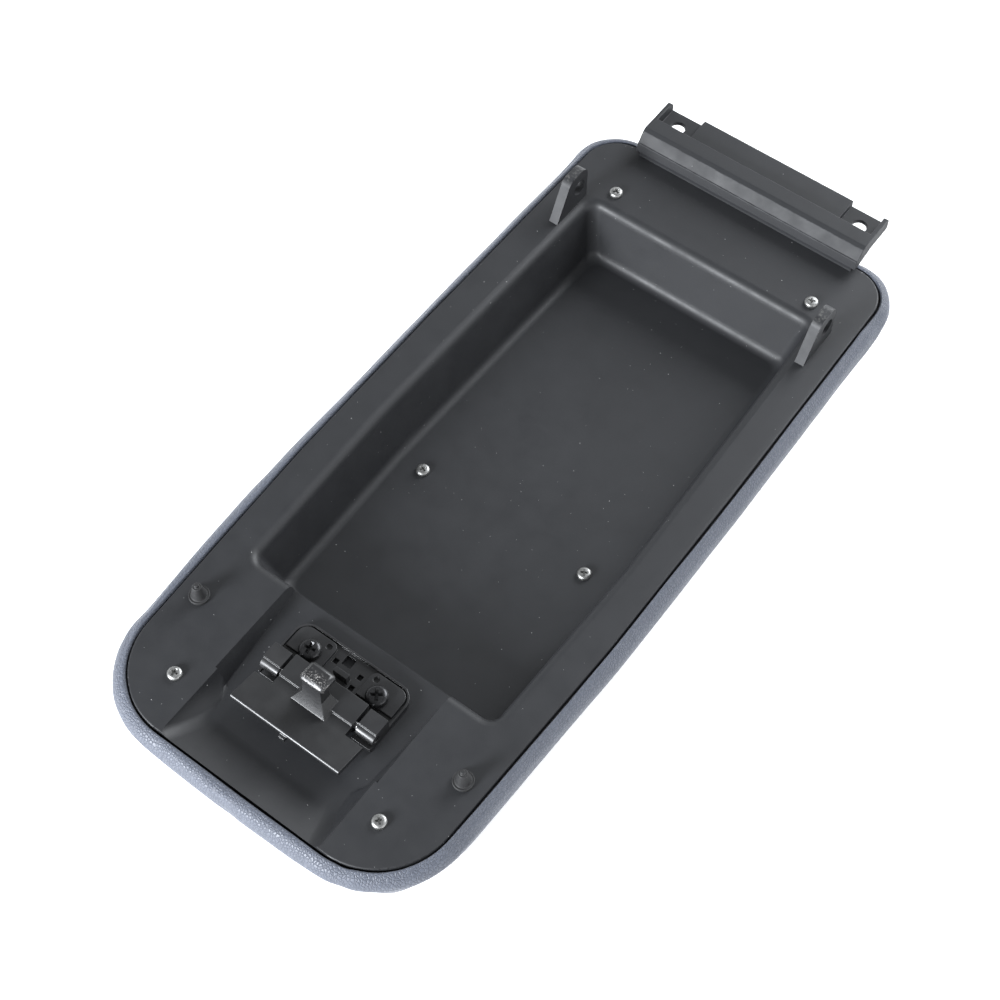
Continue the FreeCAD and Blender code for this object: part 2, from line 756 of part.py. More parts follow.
def make_latch_housing():
    """Latch base with two screw pads, two bearing blocks and the tool holes between them."""
    body = new_body("latch_housing")
    sketch = new_sketch(body, "base_outline", "XY_Plane", CHANNEL_FLOOR)
    base_corners = both_sides([("base_half", "-(base_front)"), ("base_half", "-(base_rear)")])
    rounded_polygon(sketch, base_corners, [None, "base_corner", "base_corner", None])
    pad(body, "base", sketch, "base_rim_height")
    sketch = new_sketch(body, "base_inside", "XY_Plane", f"{CHANNEL_FLOOR} + base_rim_height")
    inner = "base_half - base_rim"
    inside_corners = both_sides([(inner, "-(base_front + base_rim)"), (inner, "-(base_rear + base_rim)")])
    inside_round = "base_corner - base_rim"
    rounded_polygon(sketch, inside_corners, [None, inside_round, inside_round, None])
    pocket(body, "base_tray", sketch, "base_rim_height - base_thick")

    pad_corners = [
        ("screw_pad_inner", "-(screw_pad_front)", None),
        ("screw_pad_outer", "-(screw_pad_front)", None),
        ("screw_pad_outer", "-(screw_pad_rear)", "screw_pad_round"),
        ("screw_pad_inner", "-(screw_pad_rear)", "screw_pad_lobe"),
    ]
    sketch = new_sketch(body, "screw_pads_outline", "XY_Plane", CHANNEL_FLOOR)
    for side, order in (("", pad_corners), ("-", pad_corners[::-1])):
        rounded_polygon(sketch, [(f"{side}({x})", y) for x, y, radius in order], [item[2] for item in order])
    pad(body, "screw_pads", sketch, "screw_pad_thick")

    for side, name in (("", "right"), ("-", "left")):
        start = "block_inner" if side == "" else "-(block_outer)"
        sketch = new_sketch(body, f"block_{name}_profile", "YZ_Plane", start)
        rectangle(sketch, PIN_Y, "-(block_rear)", CHANNEL_FLOOR, f"{CHANNEL_FLOOR} + block_height")
        pad(body, f"block_{name}", sketch, "block_outer - block_inner")
        sketch = new_sketch(body, f"barrel_{name}_profile", "YZ_Plane", start)
        circle(sketch, PIN_Y, PIN_Z, "barrel_radius")
        pad(body, f"barrel_{name}", sketch, "block_outer - block_inner")

    sketch = new_sketch(body, "catch_tab_outline", "XY_Plane", CHANNEL_FLOOR)
    rectangle(sketch, "-(catch_tab_half)", "catch_tab_half", "-(catch_tab_front)", "-(catch_tab_rear)")
    pad(body, "catch_tab", sketch, "catch_tab_height")

    sketch = new_sketch(body, "pin_bore_profile", "YZ_Plane")
    circle(sketch, PIN_Y, PIN_Z, "pin_radius + pin_clearance")
    pocket(body, "pin_bore", sketch, "4 * block_outer", "Symmetric")

    sketch = new_sketch(body, "screw_bores_profile", "XY_Plane", CHANNEL_FLOOR)
    for side in ("", "-"):
        circle(sketch, f"{side}(latch_screw_across)", "-(latch_screw_along)",
               "latch_screw_shank + screw_clearance")
    pocket(body, "screw_bores", sketch, "4 * screw_pad_thick", "Symmetric")

    sketch = new_sketch(body, "locator_rings_profile", "XY_Plane", SCREW_PAD_TOP)
    for side in ("", "-"):
        circle(sketch, f"{side}(locator_across)", "-(locator_along)", "locator_bore")
    pocket(body, "locator_bores", sketch, "locator_depth")

    sketch = new_sketch(body, "tool_holes_profile", "XY_Plane", CHANNEL_FLOOR)
    small_along = "-(latch_screw_along - 3 * tool_hole_small)"
    for x, y, half in (
        ("-(screw_pad_inner - 2 * tool_hole_small)", small_along, "tool_hole_small"),
        ("-(tool_hole_large)", "-(locator_along)", "tool_hole_large"),
        ("screw_pad_inner - 3 * tool_hole_small", small_along, "tool_hole_small"),
        ("screw_pad_inner - 3 * tool_hole_small", "-(screw_pad_front - tool_hole_small)", "tool_hole_small"),
    ):
        rectangle(sketch, f"{x} - {half}", f"{x} + {half}", f"{y} - {half}", f"{y} + {half}")
    pocket(body, "tool_holes", sketch, "4 * base_thick", "Symmetric")

    sketch = new_sketch(body, "hub_window_outline", "XY_Plane", CHANNEL_FLOOR)
    rectangle(sketch, "-(lever_half + hub_clearance)", "lever_half + hub_clearance",
              "-(base_front + base_thick)", "-(pin_along - hub_radius - hub_clearance)")
    pocket(body, "hub_window", sketch, "4 * base_thick", "Symmetric")
    keep(body, "latch_housing")


def make_latch_lever():
    """Paddle, hub and hook in one moulding."""
    body = new_body("latch_lever")
    sketch = new_sketch(body, "web_profile", "YZ_Plane")
    polygon(sketch, [
        ("-(lever_rear)", LEVER_TOP),
        ("-(lever_rear)", f"{LEVER_TOP} - lever_thick"),
        (PIN_Y, f"{LEVER_TOP} - lever_thick - paddle_thick / 2"),
        ("-(paddle_rear + paddle_thick)", f"{PADDLE_LOW} - paddle_thick"),
        ("-(paddle_rear + paddle_thick)", PADDLE_LOW),
        ("-(plate_front)", PADDLE_LOW),
        ("-(plate_front)", LEVER_TOP),
    ])
    pad(body, "web", sketch, "2 * lever_half", "Symmetric")

    sketch = new_sketch(body, "hub_profile", "YZ_Plane")
    circle(sketch, PIN_Y, PIN_Z, "hub_radius")
    pad(body, "hub", sketch, "2 * lever_half", "Symmetric")

    sketch = new_sketch(body, "paddle_profile", "YZ_Plane")
    polygon(sketch, [
        ("-(paddle_rear)", PADDLE_LOW),
        ("-(paddle_rear)", f"{PADDLE_LOW} - paddle_thick"),
        ("-(paddle_front)", f"{LEVER_TOP} + paddle_rise - paddle_thick"),
        ("-(paddle_front)", f"{LEVER_TOP} + paddle_rise"),
    ])
    pad(body, "paddle", sketch, "2 * paddle_half", "Symmetric")
    front = -value("paddle_front")
    fillet(body, "paddle_lip", "lip_round",
           lambda box: near(box.YMin, front) and near(box.YMax, front) and box.XLength > 1)

    sketch = new_sketch(body, "nub_outline", "XY_Plane", f"{LEVER_TOP} + paddle_rise - paddle_thick / 2")
    rectangle(sketch, "-(nub_half)", "nub_half", "-(paddle_front + nub_reach)", "-(paddle_front - nub_reach)")
    pad(body, "nub", sketch, "nub_drop", reverse=True)

    post_top = f"{HOOK_TOP} - hook_head_thick / 2"
    sections = (
        (f"{PADDLE_LOW} - paddle_step", "hook_base_half", "hook_base_front", "hook_base_rear"),
        (f"{LEVER_TOP} + hook_waist_rise", "hook_waist_half", "hook_waist_front", "hook_neck_rear"),
        (post_top, "hook_neck_half", "hook_neck_front", "hook_neck_rear"),
    )
    sketches = []
    for height, half, front_edge, rear_edge in sections:
        sketch = new_sketch(body, "hook_section", "XY_Plane", height)
        rectangle(sketch, f"-({half})", half, f"-({front_edge})", f"-({rear_edge})")
        sketches.append(sketch)
    loft(body, "AdditiveLoft", "hook_post", sketches)

    sketch = new_sketch(body, "hook_head_outline", "XY_Plane", f"{HOOK_TOP} - hook_head_thick")
    rectangle(sketch, "-(hook_head_half)", "hook_head_half", "-(hook_head_front)", "-(hook_head_rear)")
    pad(body, "hook_head", sketch, "hook_head_thick")
    crest = value(HOOK_TOP)
    fillet(body, "hook_head_corners", "hook_head_corner",
           lambda box: near(box.ZMax, crest) and near(box.ZLength, value("hook_head_thick")))
    chamfer(body, "hook_head_lead", "hook_head_chamfer",
            lambda box: level_at(box, crest) and near(box.YMin, -value("hook_head_front"))
            and near(box.YMax, -value("hook_head_front")))

    sketch = new_sketch(body, "spring_room", "YZ_Plane")
    circle(sketch, PIN_Y, PIN_Z, "spring_pocket")
    pocket(body, "spring_pocket_cut", sketch, "2 * spring_pocket_half", "Symmetric")
    sketch = new_sketch(body, "spring_slot", "YZ_Plane")
    rectangle(sketch, "-(pin_along + hub_radius)", "-(pin_along - hub_radius)",
              f"{PIN_Z} - 2 * hub_radius", PIN_Z)
    pocket(body, "spring_slot_cut", sketch, "2 * spring_pocket_half", "Symmetric")

    sketch = new_sketch(body, "lever_bore_profile", "YZ_Plane")
    circle(sketch, PIN_Y, PIN_Z, "pin_radius + pin_clearance")
    pocket(body, "lever_bore", sketch, "4 * lever_half", "Symmetric")
    keep(body, "latch_lever")


def make_latch_pin():
    body = new_body("latch_pin")
    sketch = new_sketch(body, "pin_profile", "YZ_Plane")
    circle(sketch, PIN_Y, PIN_Z, "pin_radius")
    pad(body, "pin", sketch, "2 * (block_outer - pin_end_play)", "Symmetric")
    ends = value("block_outer - pin_end_play")
    chamfer(body, "pin_ends", "pin_radius / 5", lambda box: near(abs(box.XMin), ends) and box.XLength < 0.01)
    keep(body, "latch_pin")


def make_latch_spring():
    """Torsion spring: a coil about the pin and two straight legs."""
    wire = value("spring_wire")
    coil = value("spring_coil")
    turns = value("spring_turns")
    leg = value("spring_leg")
    tilt = math.radians(value("spring_leg_tilt"))
    half_length = value("spring_pitch") * turns / 2
    sweep = 2 * math.pi * turns + tilt
    path = []
    for step in range(COIL_STEPS + 1):
        share = step / COIL_STEPS
        angle = share * sweep - tilt
        across = half_length * (2 * share - 1)
        path.append(Vector(across, coil * math.sin(angle), -coil * math.cos(angle)))
    forward = Vector(0, -math.cos(tilt), math.sin(tilt))
    rearward = Vector(0, 1, 0)
    marks = [leg * (number + 1) / LEG_STEPS for number in range(LEG_STEPS)]
    front_leg = [path[0] + forward * mark for mark in reversed(marks)]
    rear_leg = [path[-1] + rearward * mark for mark in marks]
    points = front_leg + path + rear_leg
    curve = Part.BSplineCurve()
    curve.interpolate(points)
    profile = Part.Wire([Part.makeCircle(wire, points[0], forward)])
    shape = Part.Wire([curve.toShape()]).makePipeShell([profile], True, False)
    spring = doc.addObject("Part::Feature", "latch_spring")
    spring.Shape = shape
    spring.Placement = Placement(Vector(0, value(PIN_Y), value(PIN_Z)), Rotation())
    keep(spring, "latch_spring")


def make_stop(name, x):
    """Rubber stop: flange, cone and nipple above the liner, stem and barb through it."""
    body = new_body(name)
    sketch = new_sketch(body, name + "_profile", "XZ_Plane")
    low = "(0 - liner_wall - thread_clearance)"
    polygon(sketch, [
        ("0", f"{low} - stop_barb_height"),
        ("stop_stem", f"{low} - stop_barb_height"),
        ("stop_barb", low),
        ("stop_stem", low),
        ("stop_stem", "0"),
        ("stop_flange", "0"),
        ("stop_flange", "stop_flange_height"),
        ("stop_shoulder", "stop_flange_height"),
        ("stop_tip", "stop_height"),
        ("nipple_radius", "stop_height"),
        ("nipple_radius", "stop_height + nipple_height"),
        ("0", "stop_height + nipple_height"),
    ])
    turned = body.newObject("PartDesign::Revolution", name + "_turned")
    turned.Profile = sketch
    turned.ReferenceAxis = (sketch, ["V_Axis"])
    turned.Angle = 360
    bind(body, "Placement.Base.x", x)
    bind(body, "Placement.Base.y", "-(stop_along)")
    bind(body, "Placement.Base.z", "face_height")
    doc.recompute()
    keep(body, name)


def make_hinge():
    """Bracket across the rear edge and the thin film that it turns on."""
    film = doc.addObject("Part::Box", "hinge_film")
    bind(film, "Length", "2 * (bracket_half - end_wall)")
    bind(film, "Width", "film_thick")
    bind(film, "Height", "hinge_gap")
    bind(film, "Placement.Base.x", "-(bracket_half - end_wall)")
    bind(film, "Placement.Base.y", f"{HINGE_Y} - film_thick / 2")
    bind(film, "Placement.Base.z", "face_height")
    keep(film, "hinge_film")

    toe = f"{HINGE_Y} - skirt_lead"
    body = new_body("hinge_bracket")
    sketch = new_sketch(body, "bracket_profile", "YZ_Plane")
    polygon(sketch, [
        (toe, BRACKET_LOW),
        (f"{toe} + skirt_knee_run", f"{BRACKET_LOW} + skirt_knee_rise"),
        (f"{toe} + skirt_knee_run + skirt_ledge", f"{BRACKET_LOW} + skirt_knee_rise"),
        (f"{toe} + skirt_top_run", f"{BRACKET_LOW} + skirt_top_rise"),
        (f"{toe} + skirt_top_run + bracket_wall", f"{BRACKET_LOW} + bracket_rise"),
        (f"{toe} + ridge_rear_run", f"{BRACKET_LOW} + bracket_rise"),
        (f"{toe} + floor_front_run", f"{BRACKET_LOW} + floor_rise"),
        (f"{toe} + bracket_reach", f"{BRACKET_LOW} + floor_rise"),
        (f"{toe} + bracket_reach", f"{BRACKET_LOW} + floor_rise - bracket_wall"),
        (f"{toe} + floor_front_run - bracket_wall", f"{BRACKET_LOW} + floor_rise - bracket_wall"),
        (f"{toe} + ridge_rear_run - bracket_wall", f"{BRACKET_LOW} + bracket_rise - bracket_wall"),
        (f"{toe} + skirt_top_run + 1.5 * bracket_wall", f"{BRACKET_LOW} + bracket_rise - bracket_wall"),
        (f"{toe} + skirt_knee_run + bracket_wall", f"{BRACKET_LOW} + skirt_knee_rise"),
        (f"{toe} + bracket_wall", BRACKET_LOW),
    ])
    pad(body, "bracket_shell", sketch, "2 * bracket_half", "Symmetric")

    wall_outline = [
        (f"{toe} + bracket_wall / 2", BRACKET_LOW),
        (f"{toe} + skirt_knee_run + bracket_wall / 2", f"{BRACKET_LOW} + skirt_knee_rise"),
        (f"{toe} + skirt_top_run + bracket_wall / 2", f"{BRACKET_LOW} + skirt_top_rise"),
        (f"{toe} + skirt_top_run + bracket_wall", f"{BRACKET_LOW} + bracket_rise"),
        (f"{toe} + end_wall_reach", f"{BRACKET_LOW} + bracket_rise"),
        (f"{toe} + bracket_reach", f"{BRACKET_LOW} + bracket_rise - bracket_wall"),
        (f"{toe} + bracket_reach", f"{BRACKET_LOW} + floor_rise - bracket_wall"),
        (f"{toe} + floor_front_run - bracket_wall", f"{BRACKET_LOW} + floor_rise - bracket_wall"),
        (f"{toe} + 2 * bracket_wall", BRACKET_LOW),
    ]
    for name, start in (("right", "bracket_half - end_wall"), ("left", "-(bracket_half)")):
        sketch = new_sketch(body, f"end_wall_{name}_profile", "YZ_Plane", start)
        polygon(sketch, wall_outline)
        pad(body, f"end_wall_{name}", sketch, "end_wall")

    rib_outline = [
        (f"{toe} + bracket_wall / 2", BRACKET_LOW),
        (f"{toe} + skirt_top_run + bracket_wall", f"{BRACKET_LOW} + bracket_rise - bracket_wall / 2"),
        (f"{toe} + ridge_rear_run - bracket_wall / 2", f"{BRACKET_LOW} + bracket_rise - bracket_wall / 2"),
        (f"{toe} + floor_front_run - bracket_wall / 2", f"{BRACKET_LOW} + floor_rise - bracket_wall"),
        (f"{toe} + 2 * bracket_wall", BRACKET_LOW),
    ]
    for step in range(-RIBS_EACH_SIDE, RIBS_EACH_SIDE + 1):
        sketch = new_sketch(body, "rib_profile", "YZ_Plane", f"{step} * rib_spacing - rib_half")
        polygon(sketch, rib_outline)
        pad(body, "rib", sketch, "2 * rib_half")

    sketch = new_sketch(body, "middle_pad_outline", "XY_Plane", f"{BRACKET_LOW} + floor_rise - bracket_wall")
    rectangle(sketch, "-(pad_half)", "pad_half", f"{toe} + floor_front_run - bracket_wall / 2",
              f"{toe} + bracket_reach + pad_extra")
    pad(body, "middle_pad", sketch, "bracket_wall + pad_rise")

    crest = value(f"{BRACKET_LOW} + bracket_rise")
    fillet(body, "ridge_edges", "ridge_round",
           lambda box: level_at(box, crest) and near(box.YMax, value(f"{toe} + skirt_top_run + bracket_wall"))
           and box.XLength > value("bracket_half"))

    sketch = new_sketch(body, "mount_holes_profile", "XY_Plane", f"{BRACKET_LOW} + floor_rise")
    for side in ("", "-"):
        circle(sketch, f"{side}(mount_hole_across)", f"{toe} + mount_hole_run", "mount_hole")
    pocket(body, "mount_holes", sketch, "4 * bracket_wall", "Symmetric")
    keep(body, "hinge_bracket")


make_cover()
make_foam()
make_board()
make_liner()
make_screws()
make_latch_housing()
make_latch_lever()
make_latch_pin()
make_latch_spring()
make_stop("bump_stop_right", "stop_across")
make_stop("bump_stop_left", "-(stop_across)")
make_hinge()
doc.recompute()

failed = [item.Name for item in doc.Objects if {"Invalid", "Error"} & set(item.State)]
if failed:
    raise RuntimeError("objects that failed: " + ", ".join(failed))
for item in subparts:
    if item.Shape.isNull() or not item.Shape.isValid():
        raise RuntimeError(f"{item.Label} has no valid shape")

os.makedirs("parts", exist_ok=True)
for item in subparts:
    item.Shape.exportStep(f"parts/{item.Label}.step")
    print(item.Label, "solids", len(item.Shape.Solids), "volume", round(item.Shape.Volume, 1))
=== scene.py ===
import math
import random

import bmesh
import bpy
from mathutils import Matrix, Vector


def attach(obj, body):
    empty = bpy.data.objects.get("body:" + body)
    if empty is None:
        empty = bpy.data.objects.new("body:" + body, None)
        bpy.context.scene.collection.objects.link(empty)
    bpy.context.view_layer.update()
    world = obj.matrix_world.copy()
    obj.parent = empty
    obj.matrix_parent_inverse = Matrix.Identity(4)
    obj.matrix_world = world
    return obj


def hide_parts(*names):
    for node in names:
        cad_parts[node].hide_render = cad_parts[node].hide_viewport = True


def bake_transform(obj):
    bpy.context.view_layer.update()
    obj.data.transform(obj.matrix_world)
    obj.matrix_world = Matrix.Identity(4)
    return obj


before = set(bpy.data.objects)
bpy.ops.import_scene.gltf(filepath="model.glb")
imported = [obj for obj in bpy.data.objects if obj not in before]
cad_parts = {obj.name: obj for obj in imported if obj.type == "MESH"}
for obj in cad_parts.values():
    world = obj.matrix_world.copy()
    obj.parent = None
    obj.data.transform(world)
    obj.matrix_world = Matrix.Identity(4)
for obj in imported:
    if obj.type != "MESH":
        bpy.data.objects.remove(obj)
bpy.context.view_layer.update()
print("frame loaded:", ", ".join(sorted(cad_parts)))


def millimetres(*numbers):
    return Vector(numbers) / 1000


def newMaterial(name):
    material = bpy.data.materials.new(name)
    material.use_nodes = True
    tree = material.node_tree
    return material, tree, tree.nodes["Principled BSDF"]


def addNode(tree, kind, **settings):
    node = tree.nodes.new(kind)
    for key, setting in settings.items():
        if key in node.inputs.keys():
            node.inputs[key].default_value = setting
        else:
            setattr(node, key, setting)
    return node


def objectPlace(tree, turn=(0, 0, 0), stretch=(1, 1, 1)):
    place = addNode(tree, "ShaderNodeTexCoord")
    mapping = addNode(tree, "ShaderNodeMapping")
    mapping.inputs["Rotation"].default_value = turn
    mapping.inputs["Scale"].default_value = stretch
    tree.links.new(place.outputs["Object"], mapping.inputs["Vector"])
    return mapping.outputs["Vector"]


def noiseTexture(tree, place, scale, detail=3.0, roughness=0.5):
    node = addNode(tree, "ShaderNodeTexNoise")
    node.inputs["Scale"].default_value = scale
    node.inputs["Detail"].default_value = detail
    node.inputs["Roughness"].default_value = roughness
    tree.links.new(place, node.inputs["Vector"])
    return node.outputs["Fac"]


def voronoiTexture(tree, place, scale, feature="F1", randomness=1.0):
    node = addNode(tree, "ShaderNodeTexVoronoi", feature=feature)
    node.inputs["Scale"].default_value = scale
    node.inputs["Randomness"].default_value = randomness
    tree.links.new(place, node.inputs["Vector"])
    return node


def spread(tree, socket, low, high, toLow=0.0, toHigh=1.0):
    node = addNode(tree, "ShaderNodeMapRange")
    node.inputs["From Min"].default_value = low
    node.inputs["From Max"].default_value = high
    node.inputs["To Min"].default_value = toLow
    node.inputs["To Max"].default_value = toHigh
    tree.links.new(socket, node.inputs["Value"])
    return node.outputs["Result"]


def combine(tree, operation, first, second):
    node = addNode(tree, "ShaderNodeMath", operation=operation)
    for socket, item in zip(node.inputs, (first, second)):
        if isinstance(item, (int, float)):
            socket.default_value = item
        else:
            tree.links.new(item, socket)
    return node.outputs["Value"]


def mixColour(tree, share, first, second):
    node = addNode(tree, "ShaderNodeMix", data_type="RGBA")
    for socket, item in ((node.inputs["Factor"], share), (node.inputs["A"], first), (node.inputs["B"], second)):
        if isinstance(item, bpy.types.NodeSocket):
            tree.links.new(item, socket)
        else:
            socket.default_value = item
    return node.outputs["Result"]


def bumpFrom(tree, socket, strength, distance, onto=None):
    node = addNode(tree, "ShaderNodeBump")
    node.inputs["Strength"].default_value = strength
    node.inputs["Distance"].default_value = distance
    tree.links.new(socket, node.inputs["Height"])
    if onto is not None:
        tree.links.new(onto, node.inputs["Normal"])
    return node.outputs["Normal"]


def dustSpecks(tree, place, scale, size, share):
    cells = voronoiTexture(tree, place, scale)
    dot = spread(tree, cells.outputs["Distance"], size, size * 0.6)
    chosen = addNode(tree, "ShaderNodeSeparateColor")
    tree.links.new(cells.outputs["Color"], chosen.inputs["Color"])
    lucky = combine(tree, "LESS_THAN", chosen.outputs["Red"], share)
    return combine(tree, "MULTIPLY", dot, lucky)


def rgba(colour):
    return (*colour, 1.0)


linerFinish = {
    "dark": (0.0125, 0.013, 0.0145), "light": (0.0172, 0.018, 0.0202), "worn": (0.045, 0.046, 0.05),
    "roughness": (0.47, 0.6), "specular": 0.45,
    "grainScale": 2600, "grainDepth": 0.00004, "dust": (0.42, 0.42, 0.42),
    "scuff": (0.07, 0.069, 0.067), "scuffFrom": 0.062, "scuffTo": 0.0638,
}


def wornEdges(tree, place, scale):
    wear = addNode(tree, "ShaderNodeAttribute", attribute_name="wear")
    patches = spread(tree, noiseTexture(tree, place, scale, 4, 0.6), 0.42, 0.62)
    return combine(tree, "MULTIPLY", wear.outputs["Fac"], patches)


def grainedPlastic(name, look, dustShare=0.75):
    material, tree, shader = newMaterial(name)
    place = objectPlace(tree)
    clouds = noiseTexture(tree, place, 38, 4)
    colour = mixColour(tree, clouds, rgba(look["dark"]), rgba(look["light"]))
    colour = mixColour(tree, wornEdges(tree, place, 160), colour, rgba(look["worn"]))
    for scale, size, share in ((150, 0.032, dustShare), (330, 0.045, dustShare * 0.55)):
        colour = mixColour(tree, dustSpecks(tree, place, scale, size, share), colour, rgba(look["dust"]))
    axes = addNode(tree, "ShaderNodeSeparateXYZ")
    tree.links.new(place, axes.inputs["Vector"])
    top = spread(tree, axes.outputs["Z"], look["scuffFrom"], look["scuffTo"])
    rubbedTop = combine(tree, "MULTIPLY", top, spread(tree, noiseTexture(tree, place, 900, 5, 0.7), 0.5, 0.6))
    colour = mixColour(tree, rubbedTop, colour, rgba(look["scuff"]))
    tree.links.new(colour, shader.inputs["Base Color"])
    rubbed = noiseTexture(tree, place, 90, 5, 0.6)
    tree.links.new(spread(tree, rubbed, 0.3, 0.7, *look["roughness"]), shader.inputs["Roughness"])
    grain = noiseTexture(tree, place, look["grainScale"], 2, 0.6)
    tree.links.new(bumpFrom(tree, grain, 0.35, look["grainDepth"]), shader.inputs["Normal"])
    shader.inputs["Specular IOR Level"].default_value = look["specular"]
    return material


leatherFinish = {
    "dark": (0.067, 0.075, 0.097), "light": (0.09, 0.101, 0.129),
    "pebbleScale": 760, "pebbleDepth": 0.0002, "creaseScale": 230,
}


def leatherette(name, look):
    material, tree, shader = newMaterial(name)
    place = objectPlace(tree)
    clouds = noiseTexture(tree, place, 24, 4)
    pebbles = voronoiTexture(tree, place, look["pebbleScale"], "DISTANCE_TO_EDGE", 0.9)
    hollow = spread(tree, pebbles.outputs["Distance"], 0.0, 0.22)
    colour = mixColour(tree, clouds, rgba(look["dark"]), rgba(look["light"]))
    # painted shade: the hollows between the grain's pebbles are darkened to 0.72 of the dark tone, where the bump sinks
    # them
    hollowShade = tuple(channel * 0.72 for channel in look["dark"])
    colour = mixColour(tree, spread(tree, hollow, 0, 1, 0.55, 0.0), colour, rgba(hollowShade))
    tree.links.new(colour, shader.inputs["Base Color"])
    tree.links.new(spread(tree, hollow, 0, 1, 0.62, 0.47), shader.inputs["Roughness"])
    creases = noiseTexture(tree, place, look["creaseScale"], 4, 0.55)
    soft = bumpFrom(tree, creases, 0.4, 0.0004)
    tree.links.new(bumpFrom(tree, hollow, 0.8, look["pebbleDepth"], soft), shader.inputs["Normal"])
    shader.inputs["Specular IOR Level"].default_value = 0.45
    shader.inputs["Sheen Weight"].default_value = 0.08
    return material


leverFinish = {
    "black": (0.012, 0.0122, 0.013), "scuff": (0.3, 0.29, 0.28),
    "hookLow": 0.0574, "hookHigh": 0.0604, "hookRear": -0.1262, "hookFront": -0.1292,
}


def glossBlack(name, look, worn):
    material, tree, shader = newMaterial(name)
    place = objectPlace(tree)
    clouds = noiseTexture(tree, place, 120, 4)
    tree.links.new(spread(tree, clouds, 0.3, 0.7, 0.34, 0.46), shader.inputs["Roughness"])
    waves = noiseTexture(tree, place, 420, 3)
    tree.links.new(bumpFrom(tree, waves, 0.12, 0.00008), shader.inputs["Normal"])
    shader.inputs["Specular IOR Level"].default_value = 0.55
    if not worn:
        tree.links.new(mixColour(tree, clouds, rgba(look["black"]), rgba((0.02, 0.02, 0.021))),
                       shader.inputs["Base Color"])
        return material
    axes = addNode(tree, "ShaderNodeSeparateXYZ")
    tree.links.new(place, axes.inputs["Vector"])
    high = spread(tree, axes.outputs["Z"], look["hookLow"], look["hookHigh"])
    ahead = spread(tree, axes.outputs["Y"], look["hookRear"], look["hookFront"])
    zone = combine(tree, "MULTIPLY", high, ahead)
    chips = noiseTexture(tree, place, 1500, 5, 0.75)
    scuff = combine(tree, "MULTIPLY", spread(tree, chips, 0.55, 0.6), zone)
    tree.links.new(mixColour(tree, scuff, rgba(look["black"]), rgba(look["scuff"])), shader.inputs["Base Color"])
    return material


def platedSteel(name, bright, dull, roughness, metallic=1.0):
    material, tree, shader = newMaterial(name)
    place = objectPlace(tree)
    clouds = noiseTexture(tree, place, 700, 4)
    tree.links.new(mixColour(tree, clouds, rgba(dull), rgba(bright)), shader.inputs["Base Color"])
    tree.links.new(spread(tree, clouds, 0.3, 0.7, *roughness), shader.inputs["Roughness"])
    scratches = noiseTexture(tree, objectPlace(tree, stretch=(1, 1, 4)), 1900, 3)
    tree.links.new(bumpFrom(tree, scratches, 0.2, 0.00004), shader.inputs["Normal"])
    shader.inputs["Metallic"].default_value = metallic
    return material


def softRubber(name, colour):
    material, tree, shader = newMaterial(name)
    place = objectPlace(tree)
    bloom = noiseTexture(tree, place, 300, 4)
    tree.links.new(mixColour(tree, bloom, rgba(colour), rgba(tuple(c * 1.7 for c in colour))),
                   shader.inputs["Base Color"])
    tree.links.new(spread(tree, bloom, 0.3, 0.7, 0.55, 0.7), shader.inputs["Roughness"])
    tree.links.new(bumpFrom(tree, noiseTexture(tree, place, 2200, 2), 0.25, 0.00005), shader.inputs["Normal"])
    return material


def openFoam(name):
    material, tree, shader = newMaterial(name)
    place = objectPlace(tree)
    cells = voronoiTexture(tree, place, 1100)
    # painted shade: the cell centres, where the bump sinks into pits, are coloured darker than the rims
    tree.links.new(mixColour(tree, cells.outputs["Distance"], rgba((0.025, 0.025, 0.026)), rgba((0.05, 0.05, 0.052))),
                   shader.inputs["Base Color"])
    tree.links.new(bumpFrom(tree, cells.outputs["Distance"], 0.8, 0.0005), shader.inputs["Normal"])
    shader.inputs["Roughness"].default_value = 0.95
    return material


finishes = {
    "liner": grainedPlastic("charcoalLiner", linerFinish),
    "board": grainedPlastic("plainBoard", linerFinish, 0.1),
    "bracket": grainedPlastic("charcoalBracket", {**linerFinish, "roughness": (0.52, 0.64), "specular": 0.4}, 0.15),
    "leather": leatherette("blueGreyLeatherette", leatherFinish),
    "lever": glossBlack("glossLever", leverFinish, True),
    "latch": glossBlack("satinLatch", leverFinish, False),
    "zinc": platedSteel("zincScrew", (0.42, 0.42, 0.41), (0.25, 0.25, 0.245), (0.36, 0.5)),
    "spring": platedSteel("springSteel", (0.5, 0.5, 0.5), (0.3, 0.3, 0.3), (0.25, 0.4)),
    "blackScrew": platedSteel("blackScrew", (0.05, 0.05, 0.052), (0.02, 0.02, 0.021), (0.22, 0.36), 0.7),
    "rubber": softRubber("stopRubber", (0.009, 0.009, 0.0095)),
    "foam": openFoam("paddingFoam"),
}
print("finishes:", len(finishes))


def applied(piece):
    evaluated = piece.evaluated_get(bpy.context.evaluated_depsgraph_get())
    mesh = bpy.data.meshes.new_from_object(evaluated)
    piece.modifiers.clear()
    old = piece.data
    piece.data = mesh
    bpy.data.meshes.remove(old)
    return piece


def linkNew(name, mesh):
    piece = bpy.data.objects.new(name, mesh)
    bpy.context.scene.collection.objects.link(piece)
    return piece


